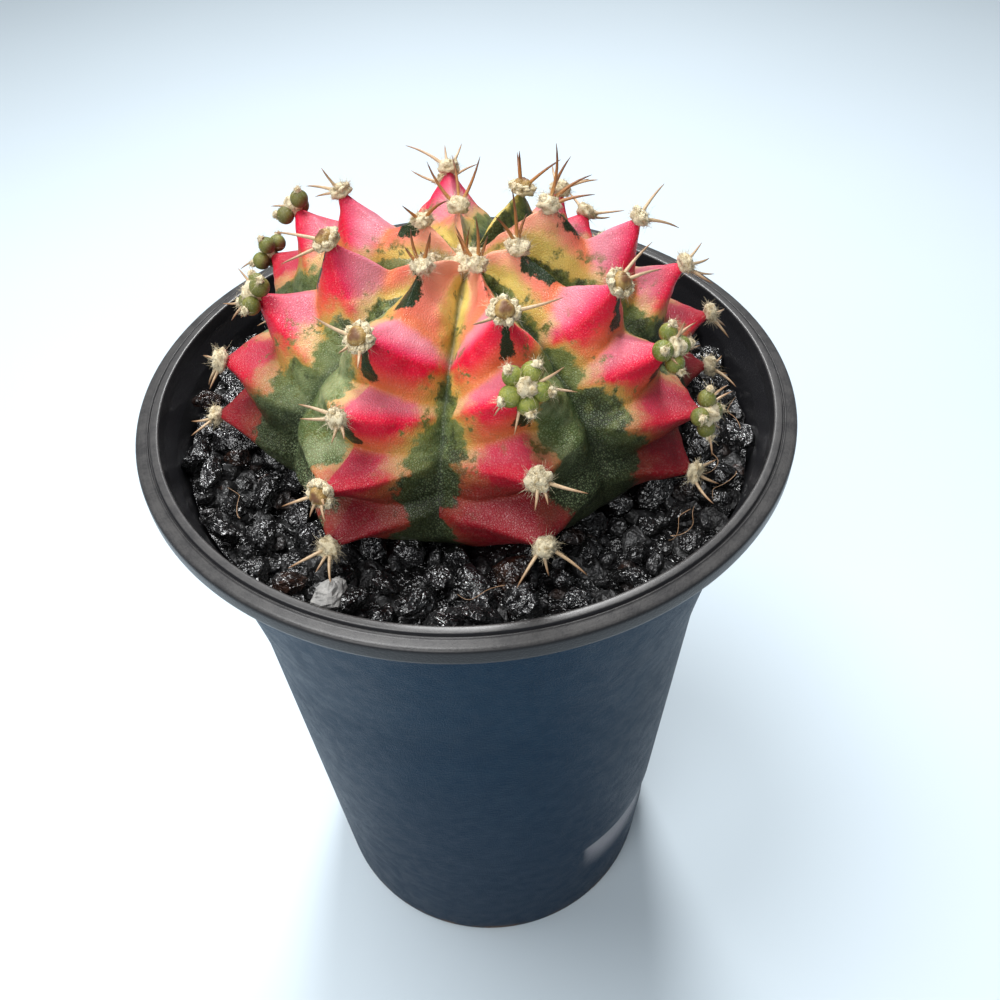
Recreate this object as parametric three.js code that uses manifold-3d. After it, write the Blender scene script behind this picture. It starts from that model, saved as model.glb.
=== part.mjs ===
// Potted moon cactus.
// A round cactus with eight ribs stands in a tall round pot of thin plastic. Its root goes down through a
// bed of dark lava gravel into the potting mix. Each rib carries a row of areoles: a small wool cushion
// with a spray of spines, and on some of them a cluster of round green offsets.
// Units are millimetres and degrees. +Z is up, the front is -Y and +X is to the right. The origin is the
// middle of the pot's underside. An azimuth is counted from the front towards the right.

import * as THREE from 'three';
import { mergeVertices } from 'three/addons/utils/BufferGeometryUtils.js';
import Module from 'manifold-3d';

const wasm = await Module();
wasm.setup();

// Pot
const POT_HEIGHT = 110;
const RIM_RADIUS = 42.5;
const FOOT_RADIUS = 30.5;
const POT_SIDES = 44;
const WALL = 1.1;
const WALL_TAPER = 0.049;
const FLARE = 3.7;
const FLARE_START = 75;
const FLARE_END = 107;
const FLARE_CURVE = 1.35;
const FOOT_RING = 4.4;
const FOOT_ROUND = 0.5;
const FLOOR_UNDERSIDE = 1.6;
const FLOOR_TOP = 3.2;
const DRAIN_RADIUS = 3;
const DRAIN_CIRCLE = 17;
const DRAIN_COUNT = 6;
const DRAIN_SIDES = 12;
const DRAIN_LENGTH = 5.2;
const FLARE_HEIGHTS = [78, 88, 98];

// Rim, from its outer edge inwards: a rounded lip, a flat band, a fine groove and an inner band
const RIM_EDGE = 109.5;
const LIP_UNDERSIDE = 106.9;
const LIP_ROUND = 0.6;
const OUTER_BAND = 1.6;
const GROOVE_WIDTH = 0.4;
const GROOVE_DEPTH = 0.5;
const INNER_BAND = 1;
const BAND_SLOPE = 0.2;
const RIM_ROOT = 106;

// Hollow pressed into the pot's wall near the foot, at the front right
const PRESS_AZIMUTH = 65;
const PRESS_HALF_WIDTH = 36;
const PRESS_BOTTOM = 12;
const PRESS_TOP = 26.5;
const PRESS_DEPTH = 1.6;
const PRESS_EDGE = 0.6;

// Filling
const FIT = 0.35;
const SOIL_TOP = 100;
const GRAVEL_BOTTOM = 100.4;
const GRAVEL_TOP = 105.7;
const STONE_RINGS = [34.7, 30.2, 26];
const STONE_SPACING = 4.9;
const STONE_RADII = [2, 2.7];
const STONE_LIFTS = [0.24, 0.84];
const STONE_SHIFT = 0.5;
const STONE_SPREAD = 1.2;
const STONE_SPREAD_OUTER = 0.4;
const STONE_BLOCK = 1.45;
const STONE_ROUGHNESS = 0.22;
const STONE_FLATNESS = 0.85;
const STONE_TILT = 0.6;
const STONE_SEED = 17;

// Plant. Its heights are counted from the rim's edge.
const PLANT_X = 1;
const PLANT_Y = -0.5;
const CORE_HEIGHT = 4;
const CROWN_RADIUS = 14;
const BASE_ANGLE = 118;
const BASE_RADIUS = 24;
const ROOT = [[6, -8.6], [5.2, -14], [3, -27]];
const ROOT_TIP = -28.5;
const ROOT_CLEARANCE = 1;
const ROOT_HOLE_RADIUS = 6.8;
const ROOT_HOLE_SIDES = 16;
const STEPS_PER_SIDE = 4;
const TIP_ANGLE = 0.5;
const CHIN = 3.2;
const CHIN_WIDTH = 0.5;
const CHIN_POINT = 1.1;
const CHIN_END = 0.5;
const BULGE = 2.8;
const NOTCH_DEPTH = 2.4;
const NOTCH_PLACE = 0.7;
const NOTCH_FADE = 0.85;
const NOTCH_SHARE = [[1, 0.7], [2, 0.9], [3, 1]];
const SEAT_GAP = 0.35;
const BED_GAP = 0.65;

// The ribs. Each areole is its distance from the plant's axis and its height over the rim's edge,
// from the crown down to the foot.
const RIBS = [
  { letter: 'a', azimuth: -33, areoles: [[9, 23], [21, 21.5], [26.5, 15], [31, 8], [31.5, 0]] },
  { letter: 'b', azimuth: 11, areoles: [[5.5, 21.5], [17, 23], [24.5, 19], [29.5, 11], [32, 3.5]] },
  { letter: 'c', azimuth: 54, areoles: [[7, 22.5], [19.5, 22], [26, 16], [31, 9], [31, 0]] },
  { letter: 'd', azimuth: 92, areoles: [[9.5, 25], [20, 22.5], [26, 16], [30, 8.5], [31, 0]] },
  { letter: 'e', azimuth: 138, areoles: [[10.5, 23], [18.5, 19.5], [24.5, 13.5], [29.5, 7], [31, 0]] },
  { letter: 'f', azimuth: 185, areoles: [[6.5, 22], [17, 21.5], [25, 15.5], [30, 8], [31.5, 0]] },
  { letter: 'g', azimuth: 234, areoles: [[6, 22], [18, 22.5], [26, 18], [32.5, 9.5], [32, 0]] },
  { letter: 'h', azimuth: 275, areoles: [[4.3, 19], [15.5, 23], [24.5, 17], [30.5, 8.5], [33, 0]] },
];
const AREOLES_PER_RIB = 5;
const LAST_PLACE = AREOLES_PER_RIB + 1;

// The furrow between two ribs: angle down from the crown, and distance from the plant's core
const FURROW = [[0, 14], [20, 14], [45, 16], [65, 19.4], [78, 22.4], [90, 25], [100, 26.4], [118, 24]];

// How far the crease of each areole has dropped when it reaches the furrow, in degrees down from the
// crown, against the place counted in areoles
const CREASE_DROP = [[0, 0], [1, 6], [2, 9], [3, 6], [4, 0], [5, -2], [6, 0]];

// Rows of the plant's skin between the crown and the base, counted in areoles
const ROWS_OVER_FIRST = [0.45, 0.8];
const ROWS_PER_AREOLE = [0, 0.35, NOTCH_PLACE];
const ROWS_UNDER_LAST = [0.2, 0.55];

// Areoles
const CUSHION = [1.3, 1.3, 0.9];
const CUSHION_LIFT = 0.3;
const CROWN_WOOL = [2.5, 2.3, 1.5];
const SPINE_RADIUS = 0.38;
const SPINE_START = 0.5;
const SPINE_HEEL = 0.4;
const AREOLE_TILT = 8;
const OFFSET_RADIUS = 1.2;
const OFFSET_CIRCLE = 1.7;
const OFFSET_LIFT = 0.6;
const OFFSET_TURN = 0.25;
const OFFSETS = { b3: 5, c3: 4, c4: 4, g3: 3, g4: 4, h3: 4 };

// Spines of an areole: fan angle from the rib's downward direction towards its right, rise out of the
// skin, and length. The hidden areoles have those of their place on the rib.
const SPINES = {
  a1: [[-140, 62, 4.5], [-100, 50, 3], [150, 62, 4.5]],
  a2: [[-95, 25, 5.5], [-20, 35, 3], [35, 30, 4.5]],
  a3: [[-95, 20, 4.5], [-75, 30, 4], [20, 35, 3], [55, 30, 3]],
  a4: [[-60, 25, 5], [-10, 35, 3], [50, 40, 3.5], [100, 50, 3]],
  a5: [[-68, 52, 5.5], [-5, 66, 3.5], [55, 52, 5]],
  b1: [[-150, 45, 5], [170, 65, 5.5], [130, 55, 3.5]],
  b2: [[-70, 25, 4.5], [85, 25, 6.5]],
  b3: [[-60, 15, 4.5], [-25, 15, 5], [75, 20, 5.5], [110, 35, 5]],
  b4: [[70, 25, 5.5], [-25, 40, 3.5], [10, 40, 3]],
  b5: [[-50, 25, 5.5], [50, 25, 6], [0, 30, 3.5]],
  c1: [[-150, 50, 5], [170, 70, 7], [110, 50, 4]],
  c2: [[100, 35, 6], [65, 25, 5.5]],
  c3: [[60, 20, 4.5], [100, 30, 4.5], [-60, 40, 3], [160, 50, 4]],
  c4: [[150, 40, 4.5], [100, 30, 4.5], [30, 15, 4], [-30, 20, 5]],
  c5: [[35, 58, 3.8], [-60, 55, 5], [85, 25, 4]],
  d1: [[-10, 32, 5.5], [15, 45, 6], [60, 60, 6], [120, 75, 7]],
  d2: [[5, 20, 5.5], [70, 50, 5.5]],
  d3: [[-20, 25, 4.5], [10, 30, 5], [40, 35, 5], [80, 50, 4]],
  d4: [[-20, 25, 4.5], [10, 30, 4], [50, 40, 4]],
  e1: [[-60, 50, 6], [60, 50, 5], [170, 70, 5]],
  f1: [[60, 55, 6.5], [0, 55, 6.5], [-60, 55, 6.5]],
  f2: [[75, 35, 6.5], [-40, 45, 5], [0, 60, 4]],
  g1: [[180, 35, 5.5], [60, 55, 3.5]],
  g2: [[0, 30, 6], [15, 20, 4], [120, 70, 4]],
  g3: [[0, 30, 4], [60, 50, 3.5]],
  h1: [[60, 60, 3], [-120, 60, 3]],
  h2: [[-25, 35, 6.5], [20, 20, 6]],
  h3: [[-20, 35, 5], [10, 20, 4.5], [50, 20, 3.5], [-110, 50, 4]],
  h4: [[0, 20, 4.5], [40, 20, 4], [-60, 45, 3.5]],
  h5: [[-30, 72, 4], [75, 52, 4.5]],
};
const HIDDEN_SPINES = {
  1: [[-130, 60, 6], [-35, 52, 6.5], [50, 55, 6]],
  2: [[-95, 30, 5.5], [-20, 40, 5], [60, 34, 5.5]],
  3: [[-90, 26, 5.5], [-20, 34, 5], [30, 30, 4], [95, 26, 5]],
  4: [[-80, 26, 5], [-10, 38, 4], [60, 30, 5]],
  5: [[-75, 40, 5], [0, 62, 3.5], [70, 40, 5]],
};
const CROWN_SPINES = [[20, 78, 4.5], [140, 80, 5], [260, 76, 4.5]];

const DEGREE = Math.PI / 180;

// A repeatable source of random numbers from 0 to 1
function randomFrom(seed) {
  let state = seed;
  return () => {
    state = (state + 0x6d2b79f5) | 0;
    let t = Math.imul(state ^ (state >>> 15), 1 | state);
    t = (t + Math.imul(t ^ (t >>> 7), 61 | t)) ^ t;
    return ((t ^ (t >>> 14)) >>> 0) / 4294967296;
  };
}

// A point between two values
function mix(a, b, t) {
  return a + (b - a) * t;
}

// A value read off a list of [place, value] points joined by straight lines
function along(points, place) {
  const last = points.length - 1;
  if (place >= points[last][0]) {
    return points[last][1];
  }
  const i = Math.max(1, points.findIndex((point) => point[0] > place));
  const [a, b] = [points[i - 1], points[i]];
  return mix(a[1], b[1], (place - a[0]) / (b[0] - a[0]));
}

// A geometry's vertices welded together, without the triangles that the weld leaves with no area
function welded(geometry) {
  const bare = geometry.clone();
  bare.deleteAttribute('normal');
  bare.deleteAttribute('uv');
  const merged = mergeVertices(bare, 1e-4);
  const index = merged.getIndex().array;
  const kept = [];
  for (let i = 0; i < index.length; i += 3) {
    const [a, b, c] = [index[i], index[i + 1], index[i + 2]];
    if (a !== b && b !== c && c !== a) {
      kept.push(a, b, c);
    }
  }
  merged.setIndex(kept);
  return merged;
}

// A closed geometry as a solid that can be cut and joined
function solid(geometry) {
  const closed = welded(geometry);
  return new wasm.Manifold(new wasm.Mesh({
    numProp: 3,
    vertProperties: new Float32Array(closed.getAttribute('position').array),
    triVerts: new Uint32Array(closed.getIndex().array),
  }));
}

// Several solids joined in one
function joined(solids) {
  return solids.reduce((sum, next) => sum.add(next));
}

// The largest separate body of a solid, without the scraps that a cut leaves
function mainBody(shape) {
  const bodies = shape.decompose();
  return bodies.reduce((largest, next) => (next.volume() > largest.volume() ? next : largest));
}

// A named mesh of a solid
function mesh(name, shape, material) {
  const cut = shape.getMesh();
  const geometry = new THREE.BufferGeometry();
  geometry.setAttribute('position', new THREE.BufferAttribute(cut.vertProperties, 3));
  geometry.setIndex(new THREE.BufferAttribute(cut.triVerts, 1));
  geometry.computeVertexNormals();
  const result = new THREE.Mesh(geometry, material);
  result.name = name;
  return result;
}

// A closed skin from rings of points, with a point that closes it at each end
function ringed(start, rings, end) {
  const columns = rings[0].length;
  const points = [start, ...rings.flat(), end];
  const index = [];
  for (let c = 0; c < columns; c += 1) {
    const next = (c + 1) % columns;
    index.push(0, 1 + c, 1 + next);
    for (let r = 0; r < rings.length - 1; r += 1) {
      const upper = 1 + r * columns;
      const lower = upper + columns;
      index.push(upper + c, lower + c, lower + next);
      index.push(upper + c, lower + next, upper + next);
    }
    const bottom = 1 + (rings.length - 1) * columns;
    index.push(bottom + c, points.length - 1, bottom + next);
  }
  const geometry = new THREE.BufferGeometry().setFromPoints(points);
  geometry.setIndex(index);
  return geometry;
}

// A profile of [radius, height] points turned round the pot's axis
function turned(profile, sides = POT_SIDES) {
  const points = profile.map(([radius, height]) => new THREE.Vector2(radius, height));
  return new THREE.LatheGeometry(points, sides).rotateX(Math.PI / 2);
}

// The outside radius of the pot's wall at a height: a straight taper that flares towards the rim
function wallRadius(height) {
  const flared = Math.max(0, (height - FLARE_START) / (FLARE_END - FLARE_START));
  return FOOT_RADIUS + WALL_TAPER * height + FLARE * flared ** FLARE_CURVE;
}

// The inside of the pot's wall
function innerRadius(height) {
  return wallRadius(height) - WALL;
}

// Moves the wall of a turned piece inwards over the pressed hollow. The hollow is deepest under its
// sharp top edge and runs out at its bottom and at both ends.
function pressed(geometry) {
  const position = geometry.getAttribute('position');
  const point = new THREE.Vector3();
  for (let i = 0; i < position.count; i += 1) {
    point.fromBufferAttribute(position, i);
    const radius = Math.hypot(point.x, point.y);
    const azimuth = Math.atan2(point.x, -point.y) / DEGREE;
    const across = 1 - ((azimuth - PRESS_AZIMUTH) / PRESS_HALF_WIDTH) ** 2;
    const up = (point.z - PRESS_BOTTOM) / (PRESS_TOP - PRESS_BOTTOM);
    if (across > 0 && up > 0 && up < 1) {
      const scale = 1 - (PRESS_DEPTH * Math.sqrt(across) * up) / radius;
      position.setXY(i, point.x * scale, point.y * scale);
    }
  }
  return geometry;
}

// Heights at which the wall has a row of points, with two close rows at the pressed hollow's top edge
const WALL_HEIGHTS = [PRESS_BOTTOM, PRESS_TOP - PRESS_EDGE, PRESS_TOP, ...FLARE_HEIGHTS];

function potSolid() {
  const outside = WALL_HEIGHTS.map((height) => [wallRadius(height), height]);
  const inside = WALL_HEIGHTS.map((height) => [innerRadius(height), height]).reverse();
  const grooveStart = RIM_RADIUS - OUTER_BAND;
  const grooveEnd = grooveStart - GROOVE_WIDTH;
  const rimInside = grooveEnd - INNER_BAND;
  const profile = [
    [0, FLOOR_UNDERSIDE],
    [FOOT_RADIUS - FOOT_RING - FOOT_ROUND, FLOOR_UNDERSIDE],
    [FOOT_RADIUS - FOOT_RING, 0],
    [FOOT_RADIUS - FOOT_ROUND, 0],
    [FOOT_RADIUS, FOOT_ROUND],
    ...outside,
    [wallRadius(LIP_UNDERSIDE), LIP_UNDERSIDE],
    [RIM_RADIUS - LIP_ROUND, LIP_UNDERSIDE],
    [RIM_RADIUS, LIP_UNDERSIDE + LIP_ROUND],
    [RIM_RADIUS, RIM_EDGE - LIP_ROUND],
    [RIM_RADIUS - LIP_ROUND, RIM_EDGE],
    [grooveStart, POT_HEIGHT - BAND_SLOPE],
    [(grooveStart + grooveEnd) / 2, POT_HEIGHT - GROOVE_DEPTH],
    [grooveEnd, POT_HEIGHT],
    [rimInside, POT_HEIGHT],
    [rimInside - GROOVE_WIDTH, POT_HEIGHT - LIP_ROUND],
    [innerRadius(RIM_ROOT), RIM_ROOT],
    ...inside,
    [innerRadius(FLOOR_TOP), FLOOR_TOP],
    [0, FLOOR_TOP],
  ];
  const drain = new THREE.CylinderGeometry(DRAIN_RADIUS, DRAIN_RADIUS, DRAIN_LENGTH, DRAIN_SIDES);
  drain.rotateX(Math.PI / 2).translate(0, 0, FLOOR_TOP / 2);
  const drains = [solid(drain)];
  for (let i = 0; i < DRAIN_COUNT; i += 1) {
    const turn = ((i + 0.5) / DRAIN_COUNT) * 2 * Math.PI;
    const [x, y] = [DRAIN_CIRCLE * Math.sin(turn), DRAIN_CIRCLE * Math.cos(turn)];
    drains.push(solid(drain.clone().translate(x, y, 0)));
  }
  return solid(pressed(turned(profile))).subtract(joined(drains));
}

// The way down that the root takes through the gravel and the mix
function rootHole() {
  const bottom = RIM_EDGE + ROOT_TIP - ROOT_CLEARANCE;
  const depth = POT_HEIGHT - bottom;
  const hole = new THREE.CylinderGeometry(ROOT_HOLE_RADIUS, ROOT_HOLE_RADIUS, depth, ROOT_HOLE_SIDES);
  hole.rotateX(Math.PI / 2).translate(PLANT_X, PLANT_Y, (POT_HEIGHT + bottom) / 2);
  return solid(hole);
}

function soilSolid() {
  const bottom = FLOOR_TOP + FIT;
  const heights = [bottom, ...WALL_HEIGHTS.filter((height) => height < SOIL_TOP), SOIL_TOP];
  const side = heights.map((height) => [innerRadius(height) - FIT, height]);
  return solid(pressed(turned([[0, bottom], ...side, [0, SOIL_TOP]]))).subtract(rootHole());
}

// One stone: a block with its corners pushed in and out by chance, stretched and turned
function stone(random, x, y, z) {
  const geometry = welded(new THREE.BoxGeometry(STONE_BLOCK, STONE_BLOCK, STONE_BLOCK));
  const position = geometry.getAttribute('position');
  for (let i = 0; i < position.count; i += 1) {
    const push = 1 + STONE_ROUGHNESS * (2 * random() - 1);
    position.setXYZ(i, position.getX(i) * push, position.getY(i) * push, position.getZ(i) * push);
  }
  const size = () => mix(STONE_RADII[0], STONE_RADII[1], random());
  geometry.scale(size(), size(), size() * STONE_FLATNESS);
  geometry.rotateX((2 * random() - 1) * STONE_TILT);
  geometry.rotateZ(random() * 2 * Math.PI);
  return solid(geometry.translate(x, y, z));
}

// The gravel: a bed with a layer of stones half sunk in it, cut to the plant that stands in it
function gravelSolid() {
  const random = randomFrom(STONE_SEED);
  const bed = [[0, GRAVEL_BOTTOM]];
  for (const height of [GRAVEL_BOTTOM, GRAVEL_TOP]) {
    bed.push([innerRadius(height) - FIT, height]);
  }
  bed.push([0, GRAVEL_TOP]);
  const stones = [];
  for (const ring of STONE_RINGS) {
    const count = Math.round((2 * Math.PI * ring) / STONE_SPACING);
    const outermost = ring === STONE_RINGS[0];
    for (let i = 0; i < count; i += 1) {
      const turn = ((i + STONE_SHIFT * random()) / count) * 2 * Math.PI;
      const spread = outermost ? STONE_SPREAD_OUTER * random() : STONE_SPREAD * (random() - 0.5);
      const height = GRAVEL_TOP + mix(STONE_LIFTS[0], STONE_LIFTS[1], random());
      const radius = ring - spread;
      stones.push(stone(random, radius * Math.sin(turn), -radius * Math.cos(turn), height));
    }
  }
  const whole = joined([solid(turned(bed)), ...stones]);
  return mainBody(whole.subtract(solid(plantSkin(BED_GAP))).subtract(rootHole()));
}

// A rib's crest without its notches, at a place counted in areoles from the crown: angle down from the
// crown, and distance from the plant's core
function crest(rib, place) {
  const points = [[TIP_ANGLE, CROWN_RADIUS]];
  for (const [radius, height] of rib.areoles) {
    const up = height - CORE_HEIGHT;
    points.push([Math.atan2(radius, up) / DEGREE, Math.hypot(radius, up)]);
  }
  points.push([BASE_ANGLE, BASE_RADIUS]);
  const angle = along(points.map((point, i) => [i, point[0]]), place);
  const distance = along(points.map((point, i) => [i, point[1]]), place);
  return { angle, distance };
}

// How deep the notch is at a place, from 0 to 1. The skin falls steeply from each areole to the bottom
// of the notch, and the next tubercle stands out from there like a chin.
function notch(place) {
  const part = place - Math.floor(place);
  if (place <= 1 || place >= AREOLES_PER_RIB) {
    return 0;
  }
  const depth = part < NOTCH_PLACE ? part / NOTCH_PLACE : (1 - part) / (1 - NOTCH_PLACE);
  return depth * along(NOTCH_SHARE, place);
}

// How far the cone of the chin under an areole stands out, from 0 to 1
function chinCone(across, place) {
  const end = Math.min(1, Math.max(0, 1 - (place - AREOLES_PER_RIB) / CHIN_END));
  return Math.max(0, 1 - across / CHIN_WIDTH) ** CHIN_POINT * (1 - notch(place)) * end;
}

// A point of the plant's skin, moved outwards by a gap. Side runs from -1 to 1 between the furrows on
// the two sides of a rib, and place is counted in areoles. A bulging body falls to the furrow by a power
// of the way across, and carries the chins and the notches.
function skinPoint(ribIndex, side, place, gap) {
  const rib = RIBS[ribIndex];
  const step = side < 0 ? -1 : 1;
  const neighbour = RIBS[(ribIndex + step + RIBS.length) % RIBS.length];
  const across = Math.abs(side);
  const turn = ((neighbour.azimuth - rib.azimuth) * step + 360) % 360;
  const azimuth = (rib.azimuth + (side * turn) / 2) * DEGREE;
  const own = crest(rib, place);
  const furrowAngle = (own.angle + crest(neighbour, place).angle) / 2 + along(CREASE_DROP, place);
  const angle = mix(own.angle, furrowAngle, across);
  const chin = CHIN * Math.min(1, place, LAST_PLACE - place);
  const body = mix(own.distance - chin, along(FURROW, angle), across ** BULGE);
  const relief = NOTCH_DEPTH * notch(place) * (1 - NOTCH_FADE * across ** 2);
  const distance = body + chin * chinCone(across, place) - relief + gap;
  const radius = distance * Math.sin(angle * DEGREE);
  return new THREE.Vector3(
    PLANT_X + radius * Math.sin(azimuth),
    PLANT_Y - radius * Math.cos(azimuth),
    RIM_EDGE + CORE_HEIGHT + distance * Math.cos(angle * DEGREE),
  );
}

// The plant's whole skin with its root, moved outwards by a gap
function plantSkin(gap) {
  const places = [...ROWS_OVER_FIRST];
  for (let areole = 1; areole < AREOLES_PER_RIB; areole += 1) {
    places.push(...ROWS_PER_AREOLE.map((part) => areole + part));
  }
  places.push(...[0, ...ROWS_UNDER_LAST, 1].map((part) => AREOLES_PER_RIB + part));
  const columns = [];
  for (let rib = 0; rib < RIBS.length; rib += 1) {
    for (let step = -STEPS_PER_SIDE; step < STEPS_PER_SIDE; step += 1) {
      columns.push({ rib, side: step / STEPS_PER_SIDE });
    }
  }
  const rings = places.map((place) => columns.map(({ rib, side }) => skinPoint(rib, side, place, gap)));
  for (const [radius, height] of ROOT) {
    rings.push(rings[0].map((point) => {
      const out = new THREE.Vector2(point.x - PLANT_X, point.y - PLANT_Y).setLength(radius + gap);
      return new THREE.Vector3(PLANT_X + out.x, PLANT_Y + out.y, RIM_EDGE + height);
    }));
  }
  const top = new THREE.Vector3(PLANT_X, PLANT_Y, RIM_EDGE + CORE_HEIGHT + CROWN_RADIUS + gap);
  const tip = new THREE.Vector3(PLANT_X, PLANT_Y, RIM_EDGE + ROOT_TIP - gap);
  return ringed(top, rings, tip);
}

// An areole's place and its own directions: out of the skin, down along the rib and sideways
function areoleFrame(ribIndex, number) {
  const rib = RIBS[ribIndex];
  const tilt = (crest(rib, number).angle - AREOLE_TILT) * DEGREE;
  const azimuth = rib.azimuth * DEGREE;
  const outward = new THREE.Vector3(Math.sin(azimuth), -Math.cos(azimuth), 0);
  const up = new THREE.Vector3(0, 0, 1);
  return {
    place: skinPoint(ribIndex, 0, number, 0),
    out: up.clone().multiplyScalar(Math.cos(tilt)).addScaledVector(outward, Math.sin(tilt)),
    down: up.clone().multiplyScalar(-Math.sin(tilt)).addScaledVector(outward, Math.cos(tilt)),
    side: new THREE.Vector3(Math.cos(azimuth), Math.sin(azimuth), 0),
  };
}

// The crown's middle, which looks straight up
function crownFrame() {
  return {
    place: new THREE.Vector3(PLANT_X, PLANT_Y, RIM_EDGE + CORE_HEIGHT + CROWN_RADIUS),
    out: new THREE.Vector3(0, 0, 1),
    down: new THREE.Vector3(0, -1, 0),
    side: new THREE.Vector3(1, 0, 0),
  };
}

// A point of an areole's frame
function inFrame(frame, side, down, out) {
  return frame.place.clone().addScaledVector(frame.side, side).addScaledVector(frame.down, down)
    .addScaledVector(frame.out, out);
}

// A rounded lump in an areole's frame, from a geometry of radius 1
function lump(frame, geometry, radii, side, down, out) {
  const turn = new THREE.Matrix4().makeBasis(frame.side, frame.down.clone().negate(), frame.out);
  const shape = geometry.clone().scale(...radii).applyMatrix4(turn);
  const place = inFrame(frame, side, down, out);
  return solid(shape.translate(place.x, place.y, place.z));
}

// A three-sided needle that tapers to a point on its way out of an areole
function spine(frame, [fan, rise, length]) {
  const lean = Math.cos(rise * DEGREE);
  const ahead = new THREE.Vector3()
    .addScaledVector(frame.down, lean * Math.cos(fan * DEGREE))
    .addScaledVector(frame.side, lean * Math.sin(fan * DEGREE))
    .addScaledVector(frame.out, Math.sin(rise * DEGREE));
  const across = new THREE.Vector3().crossVectors(ahead, frame.out).normalize();
  const over = new THREE.Vector3().crossVectors(across, ahead);
  const section = [0, 120, 240].map((turn) => frame.place.clone()
    .addScaledVector(ahead, SPINE_START)
    .addScaledVector(across, SPINE_RADIUS * Math.cos(turn * DEGREE))
    .addScaledVector(over, SPINE_RADIUS * Math.sin(turn * DEGREE)));
  const root = frame.place.clone().addScaledVector(ahead, SPINE_HEEL);
  const tip = frame.place.clone().addScaledVector(ahead, length);
  return solid(ringed(root, [section], tip));
}

// A wool cushion's lumps, and the round offsets that stand round it, each grown by a gap
function cushionLumps(frame, radii, offsets, gap) {
  const grown = radii.map((radius) => radius + gap);
  const pad = new THREE.SphereGeometry(1, 6, 3).rotateX(Math.PI / 2);
  const lumps = [lump(frame, pad, grown, 0, 0, CUSHION_LIFT)];
  for (let i = 0; i < offsets; i += 1) {
    const turn = ((i + OFFSET_TURN) / offsets) * 2 * Math.PI;
    const radius = OFFSET_RADIUS + gap;
    const ball = new THREE.IcosahedronGeometry(1, 0);
    const [side, down] = [OFFSET_CIRCLE * Math.cos(turn), OFFSET_CIRCLE * Math.sin(turn)];
    lumps.push(lump(frame, ball, [radius, radius, radius], side, down, OFFSET_LIFT));
  }
  return lumps;
}

// Materials
const plastic = new THREE.MeshStandardMaterial({ color: 0x1f3040, roughness: 0.45, metalness: 0 });
const pottingMix = new THREE.MeshStandardMaterial({ color: 0x2a2018, roughness: 0.95, metalness: 0 });
const lava = new THREE.MeshStandardMaterial({ color: 0x1b1b1c, roughness: 0.35, metalness: 0 });
const skin = new THREE.MeshStandardMaterial({ color: 0xd8345c, roughness: 0.5, metalness: 0 });
const wool = new THREE.MeshStandardMaterial({ color: 0xd9c9a0, roughness: 0.8, metalness: 0 });
const green = new THREE.MeshStandardMaterial({ color: 0x6f8433, roughness: 0.6, metalness: 0 });

const model = new THREE.Group();
model.add(mesh('pot', potSolid(), plastic));
model.add(mesh('soil', soilSolid(), pottingMix));
model.add(mesh('gravel', gravelSolid(), lava));

// The areoles, and the body with a seat cut for each of them
const seats = [];
const crownWool = crownFrame();
seats.push(...cushionLumps(crownWool, CROWN_WOOL, 0, SEAT_GAP));
const crownSpines = CROWN_SPINES.map((set) => spine(crownWool, set));
model.add(mesh('crown_wool', joined([...cushionLumps(crownWool, CROWN_WOOL, 0, 0), ...crownSpines]), wool));
RIBS.forEach((rib, ribIndex) => {
  for (let number = 1; number <= AREOLES_PER_RIB; number += 1) {
    const frame = areoleFrame(ribIndex, number);
    const key = `${rib.letter}${number}`;
    const offsets = OFFSETS[key] ?? 0;
    const spines = (SPINES[key] ?? HIDDEN_SPINES[number]).map((set) => spine(frame, set));
    const name = `${offsets > 0 ? 'offsets' : 'areole'}_${key}`;
    const lumps = cushionLumps(frame, CUSHION, offsets, 0);
    seats.push(...cushionLumps(frame, CUSHION, offsets, SEAT_GAP));
    model.add(mesh(name, joined([...lumps, ...spines]), offsets > 0 ? green : wool));
  }
});
model.add(mesh('cactus', mainBody(solid(plantSkin(0)).subtract(joined(seats))), skin));

export default model;
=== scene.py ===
# Potted moon cactus: the finished surfaces of the pot, its gravel and the plant, round a fixed frame.
# Sizes are in metres, written as millimetres times MM. +Z is up and the front is -Y. An azimuth is counted
# in degrees from the front towards the right, and the origin is the middle of the pot's underside.

import math
from functools import partialmethod

import bpy
import numpy as np
from mathutils import Matrix, Vector


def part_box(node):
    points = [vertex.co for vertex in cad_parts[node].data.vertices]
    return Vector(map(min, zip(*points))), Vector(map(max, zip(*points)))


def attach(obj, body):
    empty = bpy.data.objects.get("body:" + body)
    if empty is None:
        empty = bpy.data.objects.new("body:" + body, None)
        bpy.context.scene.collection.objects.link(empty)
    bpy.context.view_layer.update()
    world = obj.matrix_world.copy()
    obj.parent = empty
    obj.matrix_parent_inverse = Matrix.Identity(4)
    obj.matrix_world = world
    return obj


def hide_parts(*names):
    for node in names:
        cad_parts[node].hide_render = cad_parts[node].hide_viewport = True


bl_info = {
    "name": "Potted Moon Cactus",
    "version": (1, 0, 0),
    "blender": (4, 5, 0),
    "location": "View3D > Sidebar > Cactus",
    "description": "Builds a potted moon cactus with its gravel, wool and spines",
    "category": "Add Mesh",
}

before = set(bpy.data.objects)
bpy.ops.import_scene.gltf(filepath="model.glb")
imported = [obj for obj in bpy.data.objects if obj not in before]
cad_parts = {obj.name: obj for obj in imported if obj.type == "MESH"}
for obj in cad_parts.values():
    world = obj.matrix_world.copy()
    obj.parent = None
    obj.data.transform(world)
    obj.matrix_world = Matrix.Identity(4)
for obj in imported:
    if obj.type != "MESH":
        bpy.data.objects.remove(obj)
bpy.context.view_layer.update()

MM = 0.001

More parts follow.
